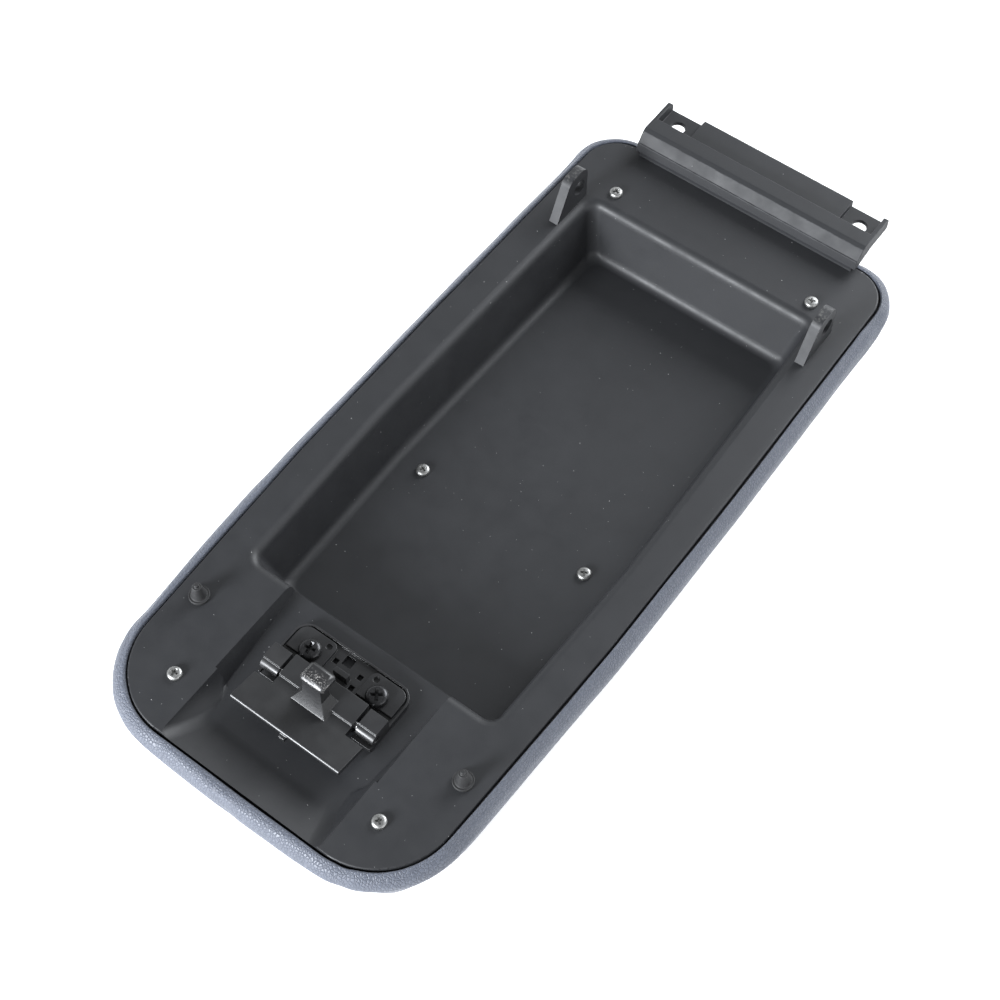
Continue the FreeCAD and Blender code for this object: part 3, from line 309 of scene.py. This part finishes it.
# moulded pieces: merged copies of the CAD solids with eased edges, easing in mm and crease in degrees
mouldings = {
    "inner_liner": {
        "name": "linerPanel", "finish": "liner", "slot": "liner",
        "body": "lid", "easing": 0.5, "crease": 28, "clamp": True,
    },
    "hinge_bracket": {
        "name": "bracket", "finish": "bracket", "slot": "liner",
        "body": "bracket", "easing": 0.3, "crease": 24, "clamp": False,
    },
    "latch_housing": {
        "name": "latchBase", "finish": "latch", "slot": "latch_black",
        "body": "lid", "easing": 0.22, "crease": 28, "clamp": False,
    },
    "latch_lever": {
        "name": "latchLever", "finish": "lever", "slot": "lever_black",
        "body": "lever", "easing": 0.3, "crease": 28, "clamp": False,
    },
    "bump_stop_left": {
        "name": "stopLeft", "finish": "rubber", "slot": "stop_rubber",
        "body": "lid", "easing": 0.3, "crease": 28, "clamp": False,
    },
    "bump_stop_right": {
        "name": "stopRight", "finish": "rubber", "slot": "stop_rubber",
        "body": "lid", "easing": 0.3, "crease": 28, "clamp": False,
    },
}


def markWear(mesh):
    # bevel faces carry slot 1: points between them only are worn edges
    count = [0] * len(mesh.vertices)
    eased = [0] * len(mesh.vertices)
    for polygon in mesh.polygons:
        for index in polygon.vertices:
            count[index] += 1
            eased[index] += polygon.material_index
    wear = mesh.attributes.new("wear", "FLOAT", "POINT")
    wear.data.foreach_set("value", [float(total == part) for total, part in zip(count, eased)])
    for polygon in mesh.polygons:
        polygon.material_index = 0


# latch channel, in mm: its side walls flare towards the scoop and the low sill between the two is smoothed away
channel = {
    "front": -144.0, "half": 41.0, "foot": 36.05, "floor": 36.0, "rim": 44.0, "fade": 6.0,
    "near": 0.05, "under": 0.5, "inset": 0.5, "dip": 0.1, "dipRate": 6, "onLine": 0.03, "weld": 0.04,
}


def inMillimetres(vertex):
    return vertex.co * 1000


def channelLevel(x, look):
    slope = (look["rim"] - look["floor"]) / (look["half"] - look["foot"])
    return look["floor"] + max(0.0, abs(x) - look["foot"]) * slope


def splitAtSill(edge, sill, look):
    first, last = (inMillimetres(v) for v in edge.verts)
    span = last - first
    cuts = []
    for vertex in sill:
        away = inMillimetres(vertex) - first
        share = away.dot(span) / span.length_squared
        if 0.002 < share < 0.998 and (away - span * share).length < look["onLine"]:
            cuts.append(share)
    start, done = edge.verts[0], 0.0
    for share in sorted(cuts):
        if share - done < 1e-4:
            continue
        _, start = bmesh.utils.edge_split(edge, start, (share - done) / (1 - done))
        edge = next(e for e in start.link_edges if (inMillimetres(e.other_vert(start)) - last).length < 0.01)
        sill.append(start)
        done = share


def openChannel(build, look):
    sill = [v for v in build.verts if abs(inMillimetres(v).y - look["front"]) < look["near"]
            and inMillimetres(v).z > look["floor"] - look["under"]]
    walls = [f for f in build.faces if all(v in sill for v in f.verts)]
    bmesh.ops.delete(build, geom=walls, context="FACES_ONLY")
    top, side = look["rim"] - look["under"], look["half"] - look["inset"]
    heights = []
    for vertex in sill:
        x, _, z = inMillimetres(vertex)
        if z < top and abs(x) < side:
            heights.append((abs(x), z - channelLevel(x, look)))
    heights.sort()
    for vertex in build.verts:
        x, y, z = inMillimetres(vertex)
        ahead = look["front"] - look["fade"] < y < look["front"] + look["near"]
        if not (ahead and abs(x) < side and look["floor"] < z < top):
            continue
        drop = next((height for reach, height in heights if reach >= abs(x)), 0.0)
        share = max(0.0, min(1.0, (look["front"] - y) / look["fade"]))
        fade = 1 - share * share * (3 - 2 * share)
        lowest = look["floor"] - look["dip"] * min(1.0, share * look["dipRate"])
        vertex.co.z = max(z - drop * fade, lowest) / 1000
    for vertex in sill:
        x, _, z = inMillimetres(vertex)
        if abs(z - look["floor"]) < look["near"] and abs(abs(x) - look["half"]) < look["near"]:
            vertex.co.x = math.copysign(look["foot"] / 1000, vertex.co.x)
    for edge in [e for e in build.edges if all(v in sill for v in e.verts) and e.is_boundary]:
        splitAtSill(edge, sill, look)
    bmesh.ops.remove_doubles(build, verts=sill, dist=look["weld"] / 1000)
    bmesh.ops.holes_fill(build, edges=[e for e in build.edges if e.is_boundary], sides=0)


def buildMoulding(node, look):
    build = bmesh.new()
    build.from_mesh(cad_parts[node].data)
    bmesh.ops.remove_doubles(build, verts=build.verts, dist=0.00001)
    bmesh.ops.dissolve_limit(build, angle_limit=math.radians(0.6), verts=build.verts, edges=build.edges)
    if node == "inner_liner":
        openChannel(build, channel)
    mesh = bpy.data.meshes.new(look["name"])
    build.to_mesh(mesh)
    build.free()
    mesh.materials.clear()
    for _ in range(2):
        mesh.materials.append(finishes[look["finish"]])
    for polygon in mesh.polygons:
        polygon.material_index = 0
    piece = linkNew(look["name"], mesh)
    bevel = piece.modifiers.new("easedEdges", "BEVEL")
    bevel.width = look["easing"] / 1000
    bevel.segments = 2
    bevel.limit_method = "ANGLE"
    bevel.angle_limit = math.radians(look["crease"])
    bevel.material = 1
    bevel.use_clamp_overlap = look["clamp"]
    applied(piece)
    markWear(piece.data)
    piece.data.materials.pop(index=1)
    piece.data.shade_smooth()
    piece.data.set_sharp_from_angle(angle=math.radians(look["crease"] + 20))
    even = piece.modifiers.new("evenShading", "WEIGHTED_NORMAL")
    even.keep_sharp = True
    applied(piece)
    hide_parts(node)
    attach(piece, look["body"])
    return piece


for node, look in mouldings.items():
    print(look["name"], len(buildMoulding(node, look).data.polygons), "faces")

# pieces that stay as the CAD has them
for node, finish in {"latch_pin": "spring", "foam_pad": "foam", "top_board": "board"}.items():
    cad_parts[node].data.materials.clear()
    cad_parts[node].data.materials.append(finishes[finish])
print("moulded pieces done")


# padded skin: a loft round the lid, swollen by cloth pressure, then gathered at the corners
skin = {
    "halfFront": 74.8, "halfMiddle": 79.5, "halfRear": 77.6,
    "front": 178.0, "rear": 179.0, "knee": 45.0,
    "frontCorner": 34.0, "rearCorner": 17.0,
    "faceHeight": 44.0, "bulge": 6.5, "roll": 6.0, "draft": 9.0, "crown": 13.0,
    "columns": 288, "tuckGap": 0.75, "tuckDepth": 2.6, "wall": 0.9,
    "swellFrames": 20, "swellPressure": 4.0, "swellCap": 0.0011,
    "fullFront": {"out": 1.8, "reach": 42, "from": 150, "over": 20},
    "fullLeft": {"out": 1.6, "middle": -95, "reach": 50, "from": 60, "over": 10},
    "gatherSeed": 7, "gatherCount": 7, "tuckAt": (52, -178),
    "gathers": [(70, -168, 0.16), (70, 170, 0.34), (-70, 170, 0.2), (-70, -168, 0.14)],
}


def lidOutline(look, count):
    corners = [
        (look["halfFront"], -look["front"], look["frontCorner"]),
        (look["halfMiddle"], -look["knee"], 400.0),
        (look["halfMiddle"], look["knee"], 400.0),
        (look["halfRear"], look["rear"], look["rearCorner"]),
    ]
    corners += [(-x, y, r) for x, y, r in reversed(corners)]
    dense = []
    for number, (x, y, radius) in enumerate(corners):
        point = Vector((x, y))
        before = Vector(corners[number - 1][:2])
        after = Vector(corners[(number + 1) % len(corners)][:2])
        towards = (point - before).normalized()
        onwards = (after - point).normalized()
        turn = towards.angle(onwards)
        centre = point + (onwards - towards).normalized() * radius / math.cos(turn / 2)
        first = Vector((towards.y, -towards.x))
        steps = max(6, int(turn * radius / 1.0))
        for step in range(steps + 1):
            spin = Matrix.Rotation(turn * step / steps, 2)
            normal = spin @ first
            dense.append((centre + normal * radius, normal))
    lengths = [0.0]
    loop = dense + dense[:1]
    for (one, _), (two, _) in zip(loop, loop[1:]):
        lengths.append(lengths[-1] + (two - one).length)
    total = lengths[-1]
    points, walk = [], 0
    for column in range(count):
        want = total * column / count
        while lengths[walk + 1] < want:
            walk += 1
        span = max(lengths[walk + 1] - lengths[walk], 1e-9)
        share = (want - lengths[walk]) / span
        place = loop[walk][0].lerp(loop[walk + 1][0], share)
        normal = loop[walk][1].lerp(loop[walk + 1][1], share).normalized()
        points.append((place, normal, want))
    return points, total


def skinProfile(look):
    widest = look["faceHeight"] - look["roll"]
    side = look["bulge"] - look["draft"]
    section = []
    for step in range(8):
        angle = math.radians(90 * step / 7)
        section.append((side - look["crown"] * (1 - math.sin(angle)), look["crown"] * (1 - math.cos(angle))))
    for step in range(1, 9):
        share = step / 9
        section.append((side + look["draft"] * share, look["crown"] + (widest - look["crown"]) * share))
    for step in range(9):
        angle = math.radians(78 * step / 8)
        section.append((look["bulge"] - look["roll"] * (1 - math.cos(angle)), widest + look["roll"] * math.sin(angle)))
    lastGrow, lastHeight = section[-1]
    section.append((0.5 * (lastGrow + look["tuckGap"]) + 0.2, lastHeight + 0.02))
    section.append((look["tuckGap"] + 0.15, lastHeight - 0.5))
    section.append((look["tuckGap"], lastHeight - look["tuckDepth"]))
    return section


def fuller(place, look):
    # the roll stands out further at the middle of the front and along the left
    front, left = look["fullFront"], look["fullLeft"]
    ahead = max(0.0, min(1.0, (-place.y - front["from"]) / front["over"]))
    aside = max(0.0, min(1.0, (-place.x - left["from"]) / left["over"]))
    frontOut = front["out"] * math.exp(-(place.x / front["reach"]) ** 2) * ahead
    leftOut = left["out"] * math.exp(-((place.y - left["middle"]) / left["reach"]) ** 2) * aside
    return frontOut + leftOut


def buildSkin(look):
    outline, total = lidOutline(look, look["columns"])
    section = skinProfile(look)
    rings = []
    inner = section[0]
    for share in (0.06, 0.2, 0.36, 0.52, 0.68, 0.82, 0.93):
        rings.append([(place + normal * inner[0]) * share for place, normal, _ in outline])
    flatRings = len(rings)
    heights = [inner[1]] * flatRings
    for grow, height in section:
        plump = max(0.0, (grow - look["tuckGap"]) / (look["bulge"] - look["tuckGap"]))
        rings.append([place + normal * (grow + plump * fuller(place, look)) for place, normal, _ in outline])
        heights.append(height)
    mesh = bpy.data.meshes.new("leatherSkin")
    build = bmesh.new()
    grid = []
    for ring, height in zip(rings, heights):
        grid.append([build.verts.new(millimetres(p.x, p.y, height)) for p in ring])
    pole = build.verts.new((0, 0, 0))
    for column in range(look["columns"]):
        nextColumn = (column + 1) % look["columns"]
        build.faces.new((pole, grid[0][nextColumn], grid[0][column]))
        for lower, upper in zip(grid, grid[1:]):
            build.faces.new((lower[column], lower[nextColumn], upper[nextColumn], upper[column]))
    bmesh.ops.recalc_face_normals(build, faces=build.faces)
    if sum(f.normal.z for f in build.faces if f.calc_center_median().z < 0.0005) > 0:
        bmesh.ops.reverse_faces(build, faces=build.faces)
    build.to_mesh(mesh)
    build.free()
    piece = linkNew("leatherSkin", mesh)
    return piece, outline, total, flatRings, len(section)


def swell(piece, look, flatRings, sideRings):
    columns = look["columns"]
    rest = [v.co.copy() for v in piece.data.vertices]
    pins = piece.vertex_groups.new(name="pins")
    total = flatRings + sideRings
    held = list(range(columns * (flatRings + 1))) + list(range(columns * (total - 4), columns * total))
    pins.add(held + [len(rest) - 1], 1.0, "REPLACE")
    cloth = piece.modifiers.new("swell", "CLOTH")
    settings = cloth.settings
    settings.quality = 6
    settings.mass = 0.25
    settings.tension_stiffness = 12
    settings.compression_stiffness = 12
    settings.shear_stiffness = 6
    settings.bending_stiffness = 0.6
    settings.use_pressure = True
    settings.uniform_pressure_force = look["swellPressure"]
    settings.vertex_group_mass = "pins"
    settings.effector_weights.gravity = 0
    cloth.collision_settings.use_collision = False
    cloth.point_cache.frame_start = 1
    cloth.point_cache.frame_end = look["swellFrames"]
    scene = bpy.context.scene
    for number in range(1, look["swellFrames"] + 1):
        scene.frame_set(number)
    evaluated = piece.evaluated_get(bpy.context.evaluated_depsgraph_get())
    moved = [v.co.copy() for v in evaluated.data.vertices]
    piece.modifiers.remove(cloth)
    scene.frame_set(1)
    for vertex, before, after in zip(piece.data.vertices, rest, moved):
        step = after - before
        if step.length > look["swellCap"]:
            step *= look["swellCap"] / step.length
        vertex.co = before + step
    piece.vertex_groups.clear()


def gather(piece, look, outline, total):
    # small folds where the skin turns the corners, and one tuck near the front right corner
    chance = random.Random(look["gatherSeed"])
    centres = []
    for x, y, strength in look["gathers"]:
        middle = min(outline, key=lambda item: (item[0] - Vector((x, y))).length)[2]
        for _ in range(look["gatherCount"]):
            centres.append((middle + chance.uniform(-26, 26), chance.uniform(1.6, 3.2),
                            strength * chance.uniform(0.5, 1.2)))
    tuck = min(outline, key=lambda item: (item[0] - Vector(look["tuckAt"])).length)[2]
    centres.append((tuck, 0.9, -0.55))
    centres.append((tuck + 3.0, 1.4, 0.3))
    columns = look["columns"]
    widest = look["faceHeight"] - look["roll"]
    normals = [v.normal.copy() for v in piece.data.vertices]
    for index, vertex in enumerate(piece.data.vertices):
        if index >= len(piece.data.vertices) - 1:
            continue
        height = vertex.co.z * 1000
        along = outline[index % columns][2]
        fade = max(0.0, min(1.0, (height - widest + 14) / 14))
        if fade <= 0:
            continue
        lift = 0.0
        for centre, width, strength in centres:
            gap = (along - centre + total / 2) % total - total / 2
            lift += strength * math.exp(-(gap / width) ** 2)
        drift = 0.12 * math.sin(along * 0.045) + 0.08 * math.sin(along * 0.13 + 1.7)
        vertex.co += normals[index] * (lift + drift) * fade * fade / 1000


def finishSkin(look):
    piece, outline, total, flatRings, sideRings = buildSkin(look)
    swell(piece, look, flatRings, sideRings)
    gather(piece, look, outline, total)
    piece.data.materials.append(finishes["leather"])
    piece.data.shade_smooth()
    wall = piece.modifiers.new("wall", "SOLIDIFY")
    wall.thickness = look["wall"] / 1000
    wall.offset = -1
    rounding = piece.modifiers.new("rounding", "SUBSURF")
    rounding.levels = 1
    rounding.render_levels = 1
    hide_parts("vinyl_cover")
    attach(piece, "lid")
    return piece


leatherSkin = finishSkin(skin)
print("skin:", len(leatherSkin.data.vertices), "points before rounding")


# screws: one pattern, copied by a node tree to every seat
screwSets = {
    "liner": {"node": "liner_screws", "slot": "zinc_steel", "finish": "zinc", "head": 3.1, "height": 2.2,
              "shank": 1.6, "length": 6.6, "seats": [
                  (52.9, 149.9, 44.0, 20), (-52.9, 149.9, 44.0, 65), (51.6, -156.0, 44.0, 48),
                  (-51.6, -156.0, 44.0, 5), (43.4, -9.3, 15.0, 30), (-43.4, -9.3, 15.0, 72)]},
    "latch": {"node": "latch_screws", "slot": "black_steel", "finish": "blackScrew", "head": 4.75, "height": 3.2,
              "shank": 2.45, "length": 12.0, "seats": [(17.1, -114.8, 39.7, 35), (-17.1, -114.8, 39.7, 10)]},
}


def revolve(name, profile, segments):
    build = bmesh.new()
    rings = []
    for radius, height in profile:
        if radius == 0:
            rings.append([build.verts.new((0, 0, height / 1000))])
            continue
        ring = []
        for step in range(segments):
            angle = 2 * math.pi * step / segments
            ring.append(build.verts.new(millimetres(radius * math.cos(angle), radius * math.sin(angle), height)))
        rings.append(ring)
    for lower, upper in zip(rings, rings[1:]):
        for step in range(segments):
            after = (step + 1) % segments
            corners = [lower[step % len(lower)], lower[after % len(lower)],
                       upper[after % len(upper)], upper[step % len(upper)]]
            build.faces.new(list(dict.fromkeys(corners)))
    bmesh.ops.recalc_face_normals(build, faces=build.faces)
    mesh = bpy.data.meshes.new(name)
    build.to_mesh(mesh)
    build.free()
    return linkNew(name, mesh)


def crossCutter(name, look):
    reach, half, depth = look["head"] * 0.56, look["head"] * 0.15, look["height"] * 0.62
    build = bmesh.new()
    for spin in (0, 90):
        turn = Matrix.Rotation(math.radians(spin), 3, "Z")
        corners = []
        for height, long, wide in ((look["height"] + 0.5, reach * 1.25, half * 1.15),
                                   (look["height"] - depth, reach * 0.45, half * 0.7)):
            for x, y in ((-long, -wide), (long, -wide), (long, wide), (-long, wide)):
                corners.append(build.verts.new(turn @ millimetres(x, y, height)))
        for face in ((3, 2, 1, 0), (4, 5, 6, 7), (0, 1, 5, 4), (1, 2, 6, 5), (2, 3, 7, 6), (3, 0, 4, 7)):
            build.faces.new([corners[i] for i in face])
    bmesh.ops.recalc_face_normals(build, faces=build.faces)
    mesh = bpy.data.meshes.new(name)
    build.to_mesh(mesh)
    build.free()
    return linkNew(name, mesh)


def screwHead(name, look):
    head, height = look["head"], look["height"]
    shank, length = look["shank"], look["length"]
    profile = [(0, -length), (shank * 0.55, -length + 0.3), (shank, -length + 1.6),
               (shank, 0), (head - 0.25, 0), (head, 0.25), (head, height * 0.42)]
    for step in range(1, 6):
        angle = math.radians(15 * step)
        profile.append((head - head * 0.5 * (1 - math.cos(angle)), height * 0.42 + height * 0.56 * math.sin(angle)))
    profile.append((0, height * 1.0))
    piece = revolve(name, profile, 28)
    cutter = crossCutter(name + "Cross", look)
    recess = piece.modifiers.new("recess", "BOOLEAN")
    recess.operation = "DIFFERENCE"
    recess.solver = "EXACT"
    recess.use_self = True
    recess.object = cutter
    applied(piece)
    bpy.data.objects.remove(cutter)
    piece.data.shade_smooth()
    piece.data.set_sharp_from_angle(angle=math.radians(35))
    return piece


def copiesTree(name):
    tree = bpy.data.node_groups.new(name, "GeometryNodeTree")
    tree.interface.new_socket("Geometry", in_out="INPUT", socket_type="NodeSocketGeometry")
    sockets = {}
    for label, kind in (("Pattern", "NodeSocketObject"), ("Finish", "NodeSocketMaterial"), ("Size", "NodeSocketFloat")):
        socket = tree.interface.new_socket(label, in_out="INPUT", socket_type=kind)
        sockets[label] = socket.identifier
    tree.interface.new_socket("Geometry", in_out="OUTPUT", socket_type="NodeSocketGeometry")
    entry = tree.nodes.new("NodeGroupInput")
    leave = tree.nodes.new("NodeGroupOutput")
    source = tree.nodes.new("GeometryNodeObjectInfo")
    spin = tree.nodes.new("GeometryNodeInputNamedAttribute")
    spin.data_type = "FLOAT_VECTOR"
    spin.inputs["Name"].default_value = "spin"
    place = tree.nodes.new("GeometryNodeInstanceOnPoints")
    real = tree.nodes.new("GeometryNodeRealizeInstances")
    paint = tree.nodes.new("GeometryNodeSetMaterial")
    tree.links.new(entry.outputs["Pattern"], source.inputs["Object"])
    tree.links.new(entry.outputs["Geometry"], place.inputs["Points"])
    tree.links.new(source.outputs["Geometry"], place.inputs["Instance"])
    tree.links.new(spin.outputs["Attribute"], place.inputs["Rotation"])
    tree.links.new(entry.outputs["Size"], place.inputs["Scale"])
    tree.links.new(place.outputs["Instances"], real.inputs["Geometry"])
    tree.links.new(real.outputs["Geometry"], paint.inputs["Geometry"])
    tree.links.new(entry.outputs["Finish"], paint.inputs["Material"])
    tree.links.new(paint.outputs["Geometry"], leave.inputs["Geometry"])
    return tree, sockets


screwTree, screwSockets = copiesTree("screwCopies")


def placeScrews(label, look):
    pattern = screwHead(label + "ScrewPattern", look)
    mesh = bpy.data.meshes.new(label + "Screws")
    mesh.from_pydata([millimetres(x, y, z) for x, y, z, _ in look["seats"]], [], [])
    turns = mesh.attributes.new("spin", "FLOAT_VECTOR", "POINT")
    for item, seat in zip(turns.data, look["seats"]):
        item.vector = (0, 0, math.radians(seat[3]))
    piece = linkNew(label + "Screws", mesh)
    copies = piece.modifiers.new("copies", "NODES")
    copies.node_group = screwTree
    copies[screwSockets["Pattern"]] = pattern
    copies[screwSockets["Finish"]] = finishes[look["finish"]]
    copies[screwSockets["Size"]] = 1.0
    applied(piece)
    bpy.data.objects.remove(pattern)
    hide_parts(look["node"])
    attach(piece, "lid")
    return piece


for label, look in screwSets.items():
    print(label, "screws:", len(placeScrews(label, look).data.polygons), "faces")


# latch spring: wire along a coil with two legs
coilSpring = {"wire": 0.35, "coil": 2.1, "pitch": 1.1, "turns": 3.0, "leg": 9.0, "tilt": 12.0,
              "pinAlong": -129.3, "pinHeight": 41.0, "steps": 120}


def wireTree():
    tree = bpy.data.node_groups.new("wireAlongPath", "GeometryNodeTree")
    tree.interface.new_socket("Geometry", in_out="INPUT", socket_type="NodeSocketGeometry")
    sockets = {}
    for label, kind in (("Wire", "NodeSocketFloat"), ("Finish", "NodeSocketMaterial")):
        sockets[label] = tree.interface.new_socket(label, in_out="INPUT", socket_type=kind).identifier
    tree.interface.new_socket("Geometry", in_out="OUTPUT", socket_type="NodeSocketGeometry")
    entry = tree.nodes.new("NodeGroupInput")
    leave = tree.nodes.new("NodeGroupOutput")
    path = tree.nodes.new("GeometryNodeMeshToCurve")
    ring = tree.nodes.new("GeometryNodeCurvePrimitiveCircle")
    ring.inputs["Resolution"].default_value = 10
    tube = tree.nodes.new("GeometryNodeCurveToMesh")
    tube.inputs["Fill Caps"].default_value = True
    real = tree.nodes.new("GeometryNodeRealizeInstances")
    paint = tree.nodes.new("GeometryNodeSetMaterial")
    tree.links.new(entry.outputs["Geometry"], path.inputs["Mesh"])
    tree.links.new(entry.outputs["Wire"], ring.inputs["Radius"])
    tree.links.new(path.outputs["Curve"], tube.inputs["Curve"])
    tree.links.new(ring.outputs["Curve"], tube.inputs["Profile Curve"])
    tree.links.new(tube.outputs["Mesh"], real.inputs["Geometry"])
    tree.links.new(real.outputs["Geometry"], paint.inputs["Geometry"])
    tree.links.new(entry.outputs["Finish"], paint.inputs["Material"])
    tree.links.new(paint.outputs["Geometry"], leave.inputs["Geometry"])
    return tree, sockets


def buildSpring(look):
    tilt = math.radians(look["tilt"])
    sweep = 2 * math.pi * look["turns"] + tilt
    half = look["pitch"] * look["turns"] / 2
    path = []
    for step in range(look["steps"] + 1):
        share = step / look["steps"]
        angle = share * sweep - tilt
        path.append(Vector((half * (2 * share - 1), look["coil"] * math.sin(angle), -look["coil"] * math.cos(angle))))
    forward = Vector((0, -math.cos(tilt), math.sin(tilt)))
    marks = [look["leg"] * (number + 1) / 6 for number in range(6)]
    points = [path[0] + forward * mark for mark in reversed(marks)] + path
    points += [path[-1] + Vector((0, mark, 0)) for mark in marks]
    pin = Vector((0, look["pinAlong"], look["pinHeight"]))
    mesh = bpy.data.meshes.new("latchCoil")
    mesh.from_pydata([(point + pin) / 1000 for point in points], [(i, i + 1) for i in range(len(points) - 1)], [])
    piece = linkNew("latchCoil", mesh)
    tree, sockets = wireTree()
    wire = piece.modifiers.new("wire", "NODES")
    wire.node_group = tree
    wire[sockets["Wire"]] = look["wire"] / 1000
    wire[sockets["Finish"]] = finishes["spring"]
    applied(piece)
    piece.data.shade_smooth()
    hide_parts("latch_spring")
    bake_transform(piece)
    return piece


print("spring:", len(buildSpring(coilSpring).data.polygons), "faces")


# film hinge: a thin strip, narrowed at its middle, standing between liner and bracket
filmStrip = {"half": 57.5, "along": 175.9, "low": 43.9, "high": 46.7, "thick": 0.6, "rows": 10, "waist": 0.55}


def buildFilm(look):
    build = bmesh.new()
    loops = []
    for row in range(look["rows"] + 1):
        share = row / look["rows"]
        height = look["low"] + (look["high"] - look["low"]) * share
        slim = 1 - (1 - look["waist"]) * math.sin(math.pi * share)
        half = look["thick"] * slim / 2
        corners = ((-look["half"], -half), (look["half"], -half), (look["half"], half), (-look["half"], half))
        loops.append([build.verts.new(millimetres(x, look["along"] + y, height)) for x, y in corners])
    for lower, upper in zip(loops, loops[1:]):
        for side in range(4):
            after = (side + 1) % 4
            build.faces.new((lower[side], lower[after], upper[after], upper[side]))
    build.faces.new(loops[0][::-1])
    build.faces.new(loops[-1])
    bmesh.ops.recalc_face_normals(build, faces=build.faces)
    mesh = bpy.data.meshes.new("filmStrip")
    build.to_mesh(mesh)
    build.free()
    mesh.materials.append(finishes["liner"])
    piece = linkNew("filmStrip", mesh)
    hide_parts("hinge_film")
    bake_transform(piece)
    return piece


buildFilm(filmStrip)
print("film hinge done")


studio = {
    "azimuth": 36.739, "elevation": 58.873, "distance": 770.0, "target": (3.09, -15.0, 44.0), "lens": 66.53,
    "floorHalf": 6.0, "floorColour": (0.86, 0.86, 0.86), "floorGlow": 0.45,
    "horizon": 1.75, "zenith": 0.4, "zenithFrom": 0.6, "roomColour": (0.95, 0.975, 1.0),
    "lights": [
        ("key", (-0.39, -1.45, 0.58), (0, 0, 0.04), 0.5, 66.0, (0.93, 0.96, 1.0)),
        ("fill", (1.5, -0.2, 0.5), (0, 0, 0.04), 1.0, 5.0, (0.97, 0.98, 1.0)),
        ("rear", (0.35, 1.5, 0.85), (0, 0, 0.04), 1.0, 42.0, (0.93, 0.96, 1.0)),
    ],
}


def setStage(look):
    scene = bpy.context.scene
    scene.view_settings.view_transform = "Standard"
    mesh = bpy.data.meshes.new("floor")
    half = look["floorHalf"]
    mesh.from_pydata([(-half, -half, 0), (half, -half, 0), (half, half, 0), (-half, half, 0)], [], [(0, 1, 2, 3)])
    floor = bpy.data.objects.new("floor", mesh)
    scene.collection.objects.link(floor)
    material, tree, shader = newMaterial("paleFloor")
    shader.inputs["Base Color"].default_value = rgba(look["floorColour"])
    shader.inputs["Roughness"].default_value = 0.9
    shader.inputs["Specular IOR Level"].default_value = 0.1
    shader.inputs["Emission Color"].default_value = (1, 1, 1, 1)
    shader.inputs["Emission Strength"].default_value = look["floorGlow"]
    mesh.materials.append(material)
    world = bpy.data.worlds.new("softRoom")
    world.use_nodes = True
    background = world.node_tree.nodes["Background"]
    background.inputs["Color"].default_value = rgba(look["roomColour"])
    heading = addNode(world.node_tree, "ShaderNodeTexCoord")
    axes = addNode(world.node_tree, "ShaderNodeSeparateXYZ")
    world.node_tree.links.new(heading.outputs["Generated"], axes.inputs["Vector"])
    glow = spread(world.node_tree, axes.outputs["Z"], 0.0, look["zenithFrom"], look["horizon"], look["zenith"])
    world.node_tree.links.new(glow, background.inputs["Strength"])
    scene.world = world
    for name, place, target, size, power, colour in look["lights"]:
        lamp = bpy.data.lights.new(name, "AREA")
        lamp.shape = "SQUARE"
        lamp.size = size
        lamp.energy = power
        lamp.color = colour
        holder = bpy.data.objects.new(name, lamp)
        holder.location = place
        holder.rotation_euler = (Vector(target) - Vector(place)).to_track_quat("-Z", "Y").to_euler()
        scene.collection.objects.link(holder)
    azimuth, elevation = math.radians(look["azimuth"]), math.radians(look["elevation"])
    level = math.cos(elevation)
    back = Vector((level * math.sin(azimuth), -level * math.cos(azimuth), math.sin(elevation)))
    camera = bpy.data.objects.new("camera", bpy.data.cameras.new("camera"))
    camera.data.sensor_width = 36
    camera.data.lens = look["lens"]
    camera.location = (Vector(look["target"]) + back * look["distance"]) / 1000
    camera.rotation_euler = (-back).to_track_quat("-Z", "Y").to_euler()
    camera.data.clip_start = 0.01
    scene.collection.objects.link(camera)
    scene.camera = camera


setStage(studio)
print("stage set")
